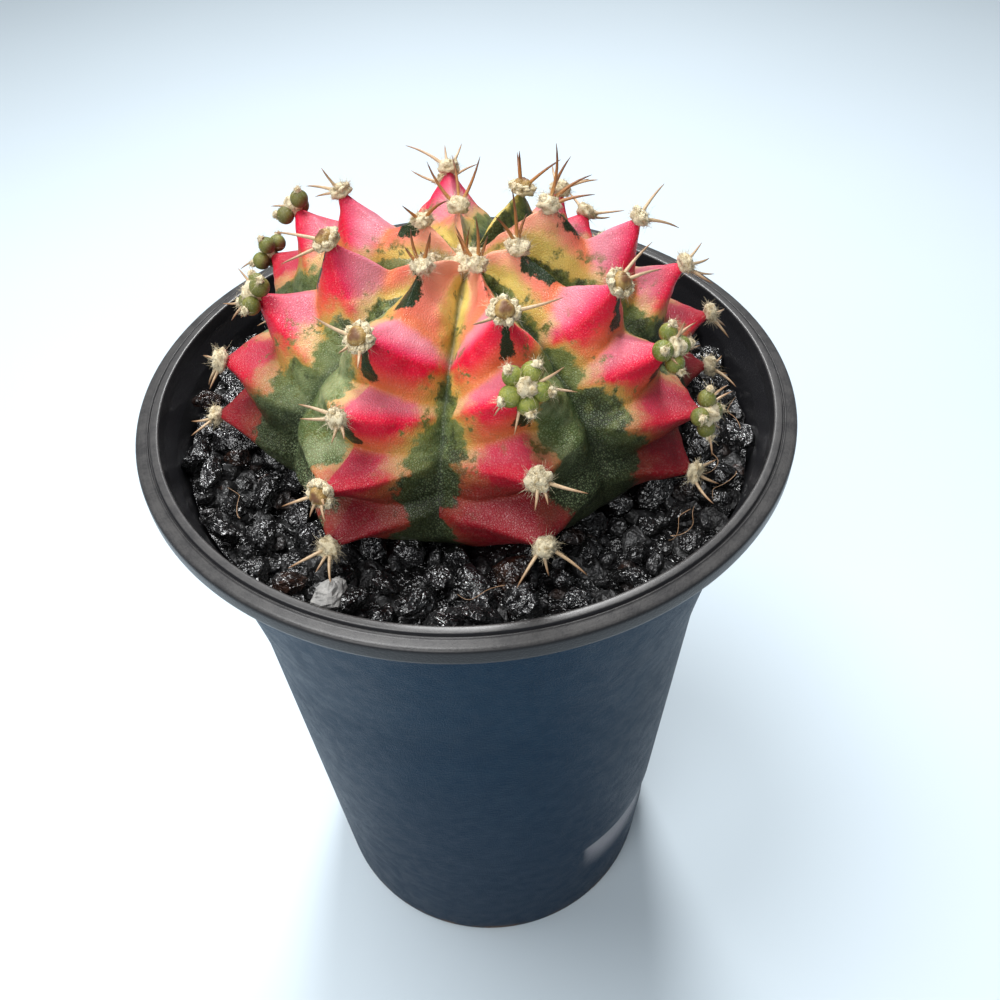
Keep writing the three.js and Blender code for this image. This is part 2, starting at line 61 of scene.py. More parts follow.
# Pot
POT_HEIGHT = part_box("pot")[1].z
RIM_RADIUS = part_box("pot")[1].x
FOOT_RADIUS = 30.5 * MM
WALL = 1.1 * MM
WALL_TAPER = 0.049
FLARE = 3.7 * MM
FLARE_START = 75 * MM
FLARE_END = 107 * MM
FLARE_CURVE = 1.35
FOOT_RING = 4.4 * MM
FOOT_ROUND = 0.5 * MM
FLOOR_UNDERSIDE = 1.6 * MM
FLOOR_TOP = 3.2 * MM
DRAIN_RADIUS = 3 * MM
DRAIN_CIRCLE = 17 * MM
DRAIN_COUNT = 6
DRAIN_SIDES = 32
DRAIN_SPARE = 2 * MM

# Rim, from its outer edge inwards: a rounded lip, a flat band, a fine groove and an inner band
RIM_EDGE = 109.5 * MM
LIP_UNDERSIDE = 106.9 * MM
LIP_ROUND = 0.6 * MM
OUTER_BAND = 1.6 * MM
BAND_SLOPE = 0.2 * MM
GROOVE_WIDTH = 0.4 * MM
GROOVE_DEPTH = 0.5 * MM
INNER_BAND = 1 * MM
RIM_ROOT = 106 * MM

# Hollow pressed into the pot's wall near the foot, at the front right
PRESS_AZIMUTH = 65
PRESS_HALF_WIDTH = 36
PRESS_BOTTOM = 12 * MM
PRESS_TOP = 26.5 * MM
PRESS_DEPTH = 1.6 * MM

# Filling: its gap to the pot's wall, the gravel's height, and the low ring that closes the view under it
FIT = 0.35 * MM
GRAVEL_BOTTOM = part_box("gravel")[0].z
GRAVEL_TOP = 105.7 * MM
BED_INSIDE = 7 * MM
BED_DEPTH = 2.6 * MM
BED_SIDES = 64

# Layers of stones: height, spread of the height and least distance between stones in millimetres, their
# size, and how far the layer lies in the dark
GRAVEL_LAYERS = ((102.3, 0.4, 3.4, 1, 1), (103.9, 0.5, 2.7, 0.5, 0.5), (104.9, 1.0, 4.0, 1, 0))
STONE_RINGS, STONE_SIDES, STONE_PLANES = 6, 9, 11

# Form of a stone, in shares of its radius: how near and far its planes lie, the ball round them, its
# roughness and its stretch along three axes. A plane cuts where it faces a direction by more than the
# grazing share. The tilt is in radians, and the power makes small stones common
PLANE_REACH = (0.58, 1.0)
STONE_BALL = 1.15
STONE_ROUGH = 0.05
STONE_STRETCH = ((0.95, 1.5), (0.8, 1.05), (0.6, 0.85))
STONE_TILT = 0.8
STONE_SIZE_POWER = 1.3
GRAZING = 0.05

# Where stones may lie: draws, distance from the axis, gaps to the wall and to the plant, and the height at
# which the plant's reach is read
STONE_TRIES = 6000
STONE_INSIDE = 18 * MM
STONE_WALL_GAP = 1.7 * MM
STONE_PLANT_GAP = 0.7 * MM
PLANT_LINE = 105 * MM

# The one pale stone: azimuth, distance from the axis, height and radius
PALE_STONE = (-28, 35.3 * MM, 106.3 * MM, 2.0 * MM)
PALE_RINGS, PALE_SIDES = 14, 22

# Rootlets on the gravel: azimuths of their starts, distance from the axis, height and radius
ROOTLETS = [62, 66, 75, 48, 40, 5, -55]
ROOTLET_CIRCLE = 34.5 * MM
ROOTLET_HEIGHT = 107.2 * MM
ROOTLET_RADIUS = 0.05 * MM
ROOTLET_STEPS, ROOTLET_SIDES = 14, 5

# Plant. Without MM, lengths are in millimetres and angles in degrees down from the crown, about the core
PLANT_X = 1 * MM
PLANT_Y = -0.5 * MM
CORE = RIM_EDGE + 4 * MM
CROWN_RADIUS = 14
BASE_ANGLE = 118
BASE_RADIUS = 24
ROOT = [(6, -8.6), (5.2, -14), (3, -27)]
ROOT_TIP = -28.5
CHIN = 3.2
CHIN_WIDTH = 0.5
CHIN_POINT = 1.1
CHIN_END = 0.5
BULGE = 2.8
NOTCH_DEPTH = 2.4
NOTCH_PLACE = 0.7
NOTCH_FADE = 0.85
NOTCH_SHARE = [(1, 0.7), (2, 0.9), (3, 1)]

# The ribs: azimuth, then each areole's distance from the plant's axis and height over the rim's edge, in
# millimetres, from the crown down to the foot
RIBS = {
    "a": (-33, [(9, 23), (21, 21.5), (26.5, 15), (31, 8), (31.5, 0)]),
    "b": (11, [(5.5, 21.5), (17, 23), (24.5, 19), (29.5, 11), (32, 3.5)]),
    "c": (54, [(7, 22.5), (19.5, 22), (26, 16), (31, 9), (31, 0)]),
    "d": (92, [(9.5, 25), (20, 22.5), (26, 16), (30, 8.5), (31, 0)]),
    "e": (138, [(10.5, 23), (18.5, 19.5), (24.5, 13.5), (29.5, 7), (31, 0)]),
    "f": (185, [(6.5, 22), (17, 21.5), (25, 15.5), (30, 8), (31.5, 0)]),
    "g": (234, [(6, 22), (18, 22.5), (26, 18), (32.5, 9.5), (32, 0)]),
    "h": (275, [(4.3, 19), (15.5, 23), (24.5, 17), (30.5, 8.5), (33, 0)]),
}
AREOLES_PER_RIB = 5
LAST_PLACE = AREOLES_PER_RIB + 1

# The skin's grid: columns from crest to furrow, rows between two areoles, and rows left out at the top
SKIN_SIDE_STEPS = 28
SKIN_ROWS_PER_PLACE = 36
SKIN_TOP_ROWS = 3

# Low swells of the skin: height, wavelength and seed
SWELLS = [(0.16 * MM, 7 * MM, 3), (0.045 * MM, 2 * MM, 4)]

# Radius of the skin's seat round an areole
SEAT_REACH = 1.9 * MM

# Places, counted in areoles from the crown, between which the crown's colour, the upper part that is painted
# brighter and the painted shade near the gravel start or end, and the part of a flank that is crease, which
# gets painted shade
CROWN_ENDS = (1.15, 2.15)
UPPER_ENDS = (2.3, 3.4)
LOW_STARTS = (3.3, 4.6)
CREASE = (0.90, 1.0)

# Round an areole the red reaches further down the flank: share of a place, and how much further
BRIM_REACH = 0.13
BRIM = 0.17

# Dashes: half width, how much it grows, and start and length of the rounded lower end in shares of a place
DASH_WIDTH = 0.62 * MM
DASH_GROWTH = 0.9
DASH_END = 0.40
DASH_ROUND = 0.22

# The furrow between two ribs: angle down from the crown, and distance from the plant's core
FURROW = [(0, 14), (20, 14), (45, 16), (65, 19.4), (78, 22.4), (90, 25), (100, 26.4), (118, 24)]

# How far the crease of each areole has dropped when it reaches the furrow, in degrees, against the place
CREASE_DROP = [(0, 0), (1, 6), (2, 9), (3, 6), (4, 0), (5, -2), (6, 0)]

# Where the green of a rib's left and right flank starts, as a share of the way from crest to furrow, at
# the crown and at each areole
GREEN_START = {
    "a": ((0.92, 0.75, 0.45, 0.18, 0.14, 0.14), (1.15, 1.10, 1.00, 0.80, 0.60, 0.48)),
    "b": ((1.10, 1.10, 1.02, 0.74, 0.70, 0.85), (0.90, 0.80, 0.70, 0.40, 0.22, 0.30)),
    "c": ((0.80, 0.80, 0.86, 0.74, 0.54, 0.50), (0.75, 0.65, 0.60, 0.55, 0.48, 0.45)),
    "d": ((0.80, 0.80, 0.78, 0.58, 0.50, 0.50), (0.60, 0.55, 0.55, 0.50, 0.45, 0.45)),
    "e": ((0.02, 0.05, 0.35, 0.50, 0.45, 0.45), (0.10, 0.25, 0.45, 0.50, 0.45, 0.45)),
    "f": ((0.50, 0.55, 0.62, 0.52, 0.45, 0.45), (0.80, 0.80, 0.72, 0.52, 0.45, 0.45)),
    "g": ((0.90, 0.86, 0.80, 0.62, 0.50, 0.45), (0.90, 0.86, 0.80, 0.62, 0.50, 0.45)),
    "h": ((0.80, 0.80, 0.72, 0.52, 0.45, 0.42), (0.80, 0.74, 0.72, 0.62, 0.46, 0.40)),
}

# How pale and silvery the green of the left and right flank is
PALENESS = {"a": (1.0, 0.35), "b": (0.35, 0.8), "c": (0.3, 0.5), "g": (0.3, 0.6), "h": (0.5, 0.5)}

# Dark dashes under the areoles: strength of those under each rib's first to fourth areole
DASHES = {
    "a": (0, 1.15, 1.5, 0.6),
    "b": (0.4, 1.0, 1.0, 0.85),
    "c": (0, 0.9, 0.9, 0.95),
    "d": (0, 0.7, 0.9, 0.8),
    "e": (0.6, 0.8, 0.8, 0.7),
    "f": (0, 0.6, 0.8, 0.9),
    "g": (0, 0.5, 0.9, 0.8),
    "h": (0.2, 0.9, 0.6, 0.5),
}

# Dark green saddles on the crests between the first and second areole: shift to the side, start, end, and
# half width in millimetres
SADDLES = {
    "a": (-0.13, 0.02, 0.58, 1.35),
    "c": (0.12, 0.06, 0.60, 1.5),
    "d": (0.15, 0.06, 0.62, 1.4),
    "g": (0.10, 0.05, 0.45, 1.1),
    "h": (0.0, -0.35, 0.30, 2.0),
}

# Areoles: radii of the wool along side, up and out, and the clusters of offsets, in millimetres
CUSHION = (1.3, 1.3, 0.9)
CUSHION_LIFT = 0.3
CROWN_WOOL = (2.5, 2.3, 1.5)

# Lumps on the wool of a cushion and of the crown: count, spread to the side, and smallest and largest radius
CUSHION_LUMPS, CUSHION_SPREAD, CUSHION_LUMP = 4, 0.75, (0.35, 0.6)
CROWN_LUMPS, CROWN_SPREAD, CROWN_LUMP = 12, 2.2, (0.5, 0.9)
WOOL_RING_PADS = 9
PAD_RINGS, PAD_SIDES = 14, 22
BALL_RINGS, BALL_SIDES = 12, 20

AREOLE_TILT = 8
OFFSET_RADIUS = 1.2
OFFSET_CIRCLE = 1.7
OFFSET_LIFT = 0.6
OFFSETS = {"b3": 5, "c3": 4, "c4": 4, "g3": 3, "g4": 4, "h3": 4}
OFFSET_AGE = {"b3": 0.0, "c3": 0.25, "c4": 0.6, "g3": 0.9, "g4": 0.6, "h3": 0.7}
BUDS = ("a2", "a4", "b2", "c2", "e1", "h2")

# A bud in its wool, in millimetres: the ring of pads, the pad under it, the bud, and the lobes on it.
# The ring has its circle, thickness and height, and the balls have height, radius and flatness
BUD_RING = (1.3, 0.36, 0.6)
BUD_PAD = (1.45, 1.45, 0.6)
BUD_BALL = (0.55, 1.08, 0.95)
BUD_LOBES, BUD_LOBE_CIRCLE, BUD_LOBE = 3, 0.36, (0.86, 0.76, 0.9)

# Radii of the wool that the loose fibres leave, and the middle of a bud's
BUD_FIBRES = (1.5, 1.5, 0.6), (0, 0, 0.4)
CROWN_FIBRES = (3.2, 2.9, 1.5)

# Wool in an offset cluster: the pad in its middle, and the tuft at each offset's tip, in millimetres
OFFSET_WOOL, OFFSET_WOOL_LIFT = (1.2, 1.2, 1.1), 0.9
OFFSET_TUFT = (0.5, 0.5, 0.42)

# Share of a solid spine's length that the fine one has, so that its round tip stays inside, share of its
# thickness that a young spine has, and least and greatest bow as a share of the length
SPINE_REACH = 0.98
YOUNG_SPINE = 0.72
SPINE_BOW = (0.12, 0.34)
SPINE_STEPS, SPINE_SIDES = 9, 8
FIBRE_RADIUS = 0.028 * MM
FIBRE_STEPS = 4

# Spines of an areole: fan angle round the areole from the rib's downward direction towards its right, rise
# out of the skin, and length in millimetres. The hidden areoles have those of their place on the rib
SPINES = {
    "a1": [(-140, 62, 4.5), (-100, 50, 3), (150, 62, 4.5)],
    "a2": [(-95, 25, 5.5), (-20, 35, 3), (35, 30, 4.5)],
    "a3": [(-95, 20, 4.5), (-75, 30, 4), (20, 35, 3), (55, 30, 3)],
    "a4": [(-60, 25, 5), (-10, 35, 3), (50, 40, 3.5), (100, 50, 3)],
    "a5": [(-68, 52, 5.5), (-5, 66, 3.5), (55, 52, 5)],
    "b1": [(-150, 45, 5), (170, 65, 5.5), (130, 55, 3.5)],
    "b2": [(-70, 25, 4.5), (85, 25, 6.5)],
    "b3": [(-60, 15, 4.5), (-25, 15, 5), (75, 20, 5.5), (110, 35, 5)],
    "b4": [(70, 25, 5.5), (-25, 40, 3.5), (10, 40, 3)],
    "b5": [(-50, 25, 5.5), (50, 25, 6), (0, 30, 3.5)],
    "c1": [(-150, 50, 5), (170, 70, 7), (110, 50, 4)],
    "c2": [(100, 35, 6), (65, 25, 5.5)],
    "c3": [(60, 20, 4.5), (100, 30, 4.5), (-60, 40, 3), (160, 50, 4)],
    "c4": [(150, 40, 4.5), (100, 30, 4.5), (30, 15, 4), (-30, 20, 5)],
    "c5": [(35, 58, 3.8), (-60, 55, 5), (85, 25, 4)],
    "d1": [(-10, 32, 5.5), (15, 45, 6), (60, 60, 6), (120, 75, 7)],
    "d2": [(5, 20, 5.5), (70, 50, 5.5)],
    "d3": [(-20, 25, 4.5), (10, 30, 5), (40, 35, 5), (80, 50, 4)],
    "d4": [(-20, 25, 4.5), (10, 30, 4), (50, 40, 4)],
    "e1": [(-60, 50, 6), (60, 50, 5), (170, 70, 5)],
    "f1": [(60, 55, 6.5), (0, 55, 6.5), (-60, 55, 6.5)],
    "f2": [(75, 35, 6.5), (-40, 45, 5), (0, 60, 4)],
    "g1": [(180, 35, 5.5), (60, 55, 3.5)],
    "g2": [(0, 30, 6), (15, 20, 4), (120, 70, 4)],
    "g3": [(0, 30, 4), (60, 50, 3.5)],
    "h1": [(60, 60, 3), (-120, 60, 3)],
    "h2": [(-25, 35, 6.5), (20, 20, 6)],
    "h3": [(-20, 35, 5), (10, 20, 4.5), (50, 20, 3.5), (-110, 50, 4)],
    "h4": [(0, 20, 4.5), (40, 20, 4), (-60, 45, 3.5)],
    "h5": [(-30, 72, 4), (75, 52, 4.5)],
}
HIDDEN_SPINES = {
    1: [(-130, 60, 6), (-35, 52, 6.5), (50, 55, 6)],
    2: [(-95, 30, 5.5), (-20, 40, 5), (60, 34, 5.5)],
    3: [(-90, 26, 5.5), (-20, 34, 5), (30, 30, 4), (95, 26, 5)],
    4: [(-80, 26, 5), (-10, 38, 4), (60, 30, 5)],
    5: [(-75, 40, 5), (0, 62, 3.5), (70, 40, 5)],
}
CROWN_SPINES = [(20, 78, 4.5), (140, 80, 5), (260, 76, 4.5)]

# Camera, over the front edge of the rim
CAMERA_BACK = 98.54 * MM
CAMERA_OVER_RIM = 80.55 * MM
CAMERA_YAW = 0.0396
CAMERA_PITCH = 0.8077
CAMERA_ROLL = -0.0350
SENSOR = 36
FOCAL_PIXELS = 960
PICTURE_PIXELS = 1000

# Stage: half the floor's side, the sky's colour, and place and size of each lamp, in metres
FLOOR_HALF = 8.0
SKY_COLOUR = (0.86, 0.93, 1.0, 1)
LAMPS = {
    "key": ((-0.13, 0.02, 0.56), 0.24),
    "fill": ((-0.20, -0.36, 0.42), 0.40),
    "window": ((0.02, 0.36, 0.54), 0.15),
}


# Numbers and arrays


def unit(vectors):
    """Vectors scaled to length 1."""
    return vectors / np.linalg.norm(vectors, axis=-1, keepdims=True)


def smooth(low, high, values):
    """A soft step: 0 below low, 1 above high and a smooth S between them."""
    share = np.clip((values - low) / (high - low), 0, 1)
    return share * share * (3 - 2 * share)


def mix(a, b, share):
    """A value that goes from a to b as share goes from 0 to 1."""
    return a + (b - a) * share


def along(pairs, places):
    """A value read off a list of (place, value) pairs that are joined by straight lines."""
    return np.interp(places, [pair[0] for pair in pairs], [pair[1] for pair in pairs])


def ripple(points, wavelength, seed, waves=16):
    """A smooth random field near -1 to 1: the mean of sine waves of one length in random directions."""
    random = np.random.default_rng(seed)
    ahead = unit(random.normal(size=(waves, 3))) * (2 * math.pi / wavelength)
    start = random.uniform(0, 2 * math.pi, waves)
    return np.sin(points @ ahead.T + start).sum(axis=-1) / math.sqrt(waves)


def polar(radius, azimuth, height):
    """Points at a distance from the upright axis, on an azimuth in radians and at a height: radius times
    sine, radius times minus cosine, and the height."""
    parts = radius * np.sin(azimuth), -radius * np.cos(azimuth), height
    return np.stack(np.broadcast_arrays(*parts), -1)


def soften(grid, passes, axis, wrap=False):
    """A grid blurred along one axis: in each pass a point becomes a quarter of each neighbour and a half
    of itself. Without wrap the two ends stay."""
    for _ in range(passes):
        before, after = np.roll(grid, 1, axis), np.roll(grid, -1, axis)
        blurred = 0.25 * before + 0.5 * grid + 0.25 * after
        if not wrap:
            ends = [0, grid.shape[axis] - 1]
            index = [slice(None)] * grid.ndim
            index[axis] = ends
            blurred[tuple(index)] = grid[tuple(index)]
        grid = blurred
    return grid


# Surfaces


def tube_faces(rings, sides):
    """Quads and end triangles of one closed tube: point 0 closes the start, then ring after ring, then the
    point that closes the end. They face outwards where the rings turn anticlockwise about the way ahead."""
    ring, side = np.meshgrid(np.arange(rings - 1), np.arange(sides), indexing="ij")
    here, after = 1 + ring * sides, (side + 1) % sides
    quads = np.stack([here + side, here + after, here + sides + after, here + sides + side], -1)
    turn = np.arange(sides)
    onward = (turn + 1) % sides
    last = 1 + (rings - 1) * sides
    start = np.stack([np.zeros_like(turn), 1 + onward, 1 + turn], -1)
    end = np.stack([np.full_like(turn, last + sides), last + turn, last + onward], -1)
    return quads.reshape(-1, 4), np.concatenate([start, end])


def closed(start, rings, end):
    """The points of many closed tubes, for tube_faces: (tubes, 3), (tubes, rings, sides, 3), (tubes, 3)."""
    count = len(rings)
    return np.concatenate([start[:, None], rings.reshape(count, -1, 3), end[:, None]], axis=1)


def turned(profile, sides):
    """Rings of a profile of (radius, height) turned round the upright axis, from the front to the right."""
    return polar(profile[:, :1], np.arange(sides) * 2 * math.pi / sides, profile[:, 1:])


def ball(rings, sides):
    """Directions of a unit ball in rings from the bottom to the top, with a point at each pole."""
    lift = math.pi * (np.arange(1, rings + 1) / (rings + 1) - 0.5)
    turn = np.arange(sides) * 2 * math.pi / sides
    flat = np.cos(lift)[:, None]
    upright = np.broadcast_to(np.sin(lift)[:, None], (rings, sides))
    body = np.stack([flat * np.cos(turn), flat * np.sin(turn), upright], -1).reshape(-1, 3)
    return np.concatenate([[[0, 0, -1]], body, [[0, 0, 1]]])


def rods(paths, radii, sides):
    """Many round rods at once. Each point of a path gets a ring across its own way ahead, with the radius
    given for it, and the path's two ends close the rod."""
    ahead = unit(np.gradient(paths, axis=1))
    steep = np.abs(ahead[:, :1, 2:]) > 0.8
    helper = np.where(steep, [1.0, 0, 0], [0, 0, 1.0])
    across = unit(np.cross(helper, ahead))
    over = np.cross(ahead, across)
    turn = np.arange(sides) * 2 * math.pi / sides
    ring = np.cos(turn)[:, None] * across[:, :, None] + np.sin(turn)[:, None] * over[:, :, None]
    rings = paths[:, :, None] + radii[:, :, None, None] * ring
    return closed(paths[:, 0], rings, paths[:, -1])


def grid_normals(grid):
    """Outward directions of a grid of points whose rows go up and whose columns turn anticlockwise."""
    up = np.gradient(grid, axis=0)
    around = np.roll(grid, -1, 1) - np.roll(grid, 1, 1)
    return unit(np.cross(around, up))


class Shells:
    """Gathers closed shells into one mesh, with a material number and named values for their points."""

    def __init__(self):
        self.points, self.quads, self.triangles, self.count = [], [], [], 0
        self.looks, self.values = [[], []], {}

    def add(self, points, rings, sides, look=0, **values):
        """Adds shells of like build: points are (shells, points, 3), and a value is one for each point."""
        quads, triangles = tube_faces(rings, sides)
        shells, size = points.shape[:2]
        offset = self.count + np.arange(shells)[:, None, None] * size
        for store, faces, looks in zip((self.quads, self.triangles), (quads, triangles), self.looks):
            store.append((faces[None] + offset).reshape(-1, faces.shape[1]))
            looks.append(np.full(shells * len(faces), look))
        self.points.append(points.reshape(-1, 3))
        for name, value in values.items():
            whole = np.broadcast_to(value, (shells, size)).ravel()
            self.values.setdefault(name, []).append((self.count, whole))
        self.count += shells * size

    def add_rods(self, paths, radii, sides, look=0, **values):
        """Adds one rod along each path, with one row of radii or one radius for all."""
        points = rods(paths, np.broadcast_to(radii, paths.shape[:2]), sides)
        self.add(points, paths.shape[1], sides, look, **values)

    def piece(self, name, materials, smooth_faces=True):
        """The mesh object of all shells. Values that a shell didn't get are 0."""
        mesh = bpy.data.meshes.new(name)
        corners = [np.concatenate(faces) for faces in (self.quads, self.triangles)]
        totals = np.concatenate([np.full(len(faces), faces.shape[1]) for faces in corners])
        points = np.concatenate(self.points)
        mesh.vertices.add(len(points))
        mesh.vertices.foreach_set("co", points.astype(np.float32).ravel())
        index = np.concatenate([faces.ravel() for faces in corners]).astype(np.int32)
        mesh.loops.add(len(index))
        mesh.loops.foreach_set("vertex_index", index)
        mesh.polygons.add(len(totals))
        mesh.polygons.foreach_set("loop_start", (np.cumsum(totals) - totals).astype(np.int32))
        looks = np.concatenate([np.concatenate(part) for part in self.looks])
        mesh.polygons.foreach_set("material_index", looks.astype(np.int32))
        mesh.polygons.foreach_set("use_smooth", np.full(len(totals), smooth_faces))
        for value, parts in self.values.items():
            whole = np.zeros(self.count, np.float32)
            for start, part in parts:
                whole[start:start + len(part)] = part
            mesh.attributes.new(value, "FLOAT", "POINT").data.foreach_set("value", whole)
        mesh.update(calc_edges=True)
        mesh.validate()
        for material in materials:
            mesh.materials.append(material)
        made = bpy.data.objects.new(name, mesh)
        bpy.context.scene.collection.objects.link(made)
        return made


def dress(made, slot, *nodes):
    """Lets a finished piece ride on the object and hides the nodes that it stands for. The slot is not used.
    """
    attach(made, "root")
    if nodes:
        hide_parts(*nodes)


# The pot's form


def wall_radius(height):
    """The outside of the wall: a straight taper from the foot, and near the rim a flare by a power law."""
    flared = np.maximum(0, (height - FLARE_START) / (FLARE_END - FLARE_START))
    return FOOT_RADIUS + WALL_TAPER * height + FLARE * flared ** FLARE_CURVE


def rounded(corners, steps=5):
    """A profile of (radius, height, round) corners. A corner with a round becomes an arc-like curve that
    leaves the two sides that far from the corner: a quadratic curve with the corner as its middle point."""
    points = [np.array(corners[0][:2])]
    for before, corner, after in zip(corners, corners[1:], corners[2:]):
        here, cut = np.array(corner[:2]), corner[2]
        if cut == 0:
            points.append(here)
            continue
        start = here + cut * unit(np.array(before[:2]) - here)
        end = here + cut * unit(np.array(after[:2]) - here)
        for share in np.linspace(0, 1, steps):
            points.append(mix(mix(start, here, share), mix(here, end, share), share))
    points.append(np.array(corners[-1][:2]))
    return np.array(points)


def pot_profile():
    """The pot's section, from the middle of its underside out, up, over the rim, and down inside."""
    wall_heights = np.concatenate([
        np.linspace(2 * MM, PRESS_BOTTOM, 4)[:-1],
        np.linspace(PRESS_BOTTOM, PRESS_TOP - 0.3 * MM, 9),
        np.linspace(PRESS_TOP, FLARE_START, 12),
        np.linspace(FLARE_START, 105 * MM, 14)[1:],
    ])
    groove_start = RIM_RADIUS - OUTER_BAND
    groove_end = groove_start - GROOVE_WIDTH
    rim_inside = groove_end - INNER_BAND
    fine = 0.12 * MM
    inner_low = wall_radius(FLOOR_TOP) - WALL
    outside = [(wall_radius(h), h, 0) for h in wall_heights]
    inside = [(wall_radius(h) - WALL, h, 0) for h in wall_heights[::-1] if h > FLOOR_TOP + MM]
    return rounded([
        (0, FLOOR_UNDERSIDE, 0),
        (12 * MM, FLOOR_UNDERSIDE, 0),
        (22 * MM, FLOOR_UNDERSIDE, 0),
        (FOOT_RADIUS - FOOT_RING - FOOT_ROUND, FLOOR_UNDERSIDE, fine),
        (FOOT_RADIUS - FOOT_RING, 0, fine),
        (FOOT_RADIUS - FOOT_ROUND, 0, fine),
        (FOOT_RADIUS, FOOT_ROUND, fine),
        *outside,
        (wall_radius(LIP_UNDERSIDE), LIP_UNDERSIDE, 0.3 * MM),
        (RIM_RADIUS - LIP_ROUND / 2, LIP_UNDERSIDE, LIP_ROUND / 2),
        (RIM_RADIUS, RIM_EDGE - 2.1 * MM, LIP_ROUND / 2),
        (RIM_RADIUS, RIM_EDGE, LIP_ROUND),
        (RIM_RADIUS - 2.4 * LIP_ROUND, RIM_EDGE + 0.12 * MM, fine),
        (groove_start, POT_HEIGHT - BAND_SLOPE, fine),
        ((groove_start + groove_end) / 2, POT_HEIGHT - GROOVE_DEPTH, fine),
        (groove_end, POT_HEIGHT, fine),
        (rim_inside, POT_HEIGHT, 0.3 * MM),
        (rim_inside - 0.35 * MM, RIM_EDGE - 1.2 * MM, 0.3 * MM),
        (wall_radius(RIM_ROOT) - WALL, RIM_ROOT, 0.3 * MM),
        *inside,
        (inner_low, FLOOR_TOP, 0.4 * MM),
        (22 * MM, FLOOR_TOP, 0),
        (12 * MM, FLOOR_TOP, 0),
        (0, FLOOR_TOP, 0),
    ])


def press(points):
    """How deep the pressed hollow is, 0 to 1: the root of a parabola across, times the share of the way up,
    so that it ends in a sharp edge at its top."""
    azimuth = np.degrees(np.arctan2(points[..., 0], -points[..., 1]))
    across = np.maximum(0, 1 - ((azimuth - PRESS_AZIMUTH) / PRESS_HALF_WIDTH) ** 2)
    up = (points[..., 2] - PRESS_BOTTOM) / (PRESS_TOP - PRESS_BOTTOM)
    return np.where((up > 0) & (up < 1), np.sqrt(across) * up, 0)


# The plant's form


def crest_knots():
    """Angle from the crown and distance from the core of every rib's areoles, with both ends added."""
    angles, distances = [], []
    for _, areoles in RIBS.values():
        out = np.array([radius for radius, _ in areoles], float)
        up = np.array([height for _, height in areoles], float) - (CORE - RIM_EDGE) / MM
        angles.append([0.5, *np.degrees(np.arctan2(out, up)), BASE_ANGLE])
        distances.append([CROWN_RADIUS, *np.hypot(out, up), BASE_RADIUS])
    return np.array(angles), np.array(distances)


AZIMUTHS = np.array([azimuth for azimuth, _ in RIBS.values()], float)
CREST_ANGLES, CREST_DISTANCES = crest_knots()


def crest(rib, place):
    """A rib's crest without its notches: angle and distance, by straight lines between the areoles."""
    low = np.clip(np.floor(place).astype(int), 0, LAST_PLACE - 1)
    part = place - low
    knots = (CREST_ANGLES, CREST_DISTANCES)
    return tuple(mix(values[rib, low], values[rib, low + 1], part) for values in knots)


def notch(place):
    """How deep the notch is, 0 to 1: it falls from an areole to its bottom and rises to the next one."""
    part = place - np.floor(place)
    depth = np.where(part < NOTCH_PLACE, part / NOTCH_PLACE, (1 - part) / (1 - NOTCH_PLACE))
    return np.where((place <= 1) | (place >= AREOLES_PER_RIB), 0, depth) * along(NOTCH_SHARE, place)


def skin(rib, side, place):
    """Points of the plant's skin. Side runs from -1 to 1 between a rib's furrows, and place counts areoles.

    The angle goes from the rib's own to its mean with the neighbour plus the crease's drop. The distance is
    that of a bulging body, plus the chin that carries the areole, less the notch. The body goes from the
    chin's root to the furrow by a power of the way across. The chin is a cone across and along the rib, and
    the notch fades with the square of the way across. Angle and distance are about the core."""
    step = np.where(side < 0, -1, 1)
    other = (rib + step) % len(RIBS)
    across = np.abs(side)
    turn = ((AZIMUTHS[other] - AZIMUTHS[rib]) * step) % 360
    azimuth = np.radians(AZIMUTHS[rib] + side * turn / 2)
    own_angle, own_distance = crest(rib, place)
    furrow_angle = (own_angle + crest(other, place)[0]) / 2 + along(CREASE_DROP, place)
    angle = mix(own_angle, furrow_angle, across)
    chin = CHIN * np.clip(np.minimum(place, LAST_PLACE - place), 0, 1)
    body = mix(own_distance - chin, along(FURROW, angle), across ** BULGE)
    ends = np.clip(1 - (place - AREOLES_PER_RIB) / CHIN_END, 0, 1)
    cone = np.maximum(0, 1 - across / CHIN_WIDTH) ** CHIN_POINT * (1 - notch(place)) * ends
    relief = NOTCH_DEPTH * notch(place) * (1 - NOTCH_FADE * across ** 2)
    distance = body + chin * cone - relief
    out = distance * np.sin(np.radians(angle)) * MM
    up = distance * np.cos(np.radians(angle)) * MM
    return polar(out, azimuth, CORE + up) + (PLANT_X, PLANT_Y, 0)


class Areole:
    """An areole's place, and its own directions: side, up along the rib and out of the skin."""

    def __init__(self, rib, number):
        self.name, self.number = f"{list(RIBS)[rib]}{number}", number
        tilt = math.radians(CREST_ANGLES[rib, number] - AREOLE_TILT)
        azimuth = math.radians(AZIMUTHS[rib])
        outward = np.array([math.sin(azimuth), -math.cos(azimuth), 0])
        self.place = skin(np.array(rib), np.array(0.0), np.array(float(number)))
        self.out = np.array([0, 0, math.cos(tilt)]) + outward * math.sin(tilt)
        self.up = np.array([0, 0, math.sin(tilt)]) - outward * math.cos(tilt)
        self.side = np.array([math.cos(azimuth), math.sin(azimuth), 0])
        self.seed = 10 * rib + number

    def at(self, points):
        """Points given in millimetres along side, up and out, as points of the whole."""
        axes = np.stack([self.side, self.up, self.out])
        return self.place + (np.asarray(points) * MM) @ axes


AREOLES = [Areole(rib, number) for rib in range(len(RIBS)) for number in range(1, AREOLES_PER_RIB + 1)]


def spines_of(areole):
    """An areole's spines: its own, or those of its place on the rib where the plant hides it."""
    return SPINES.get(areole.name, HIDDEN_SPINES.get(areole.number))


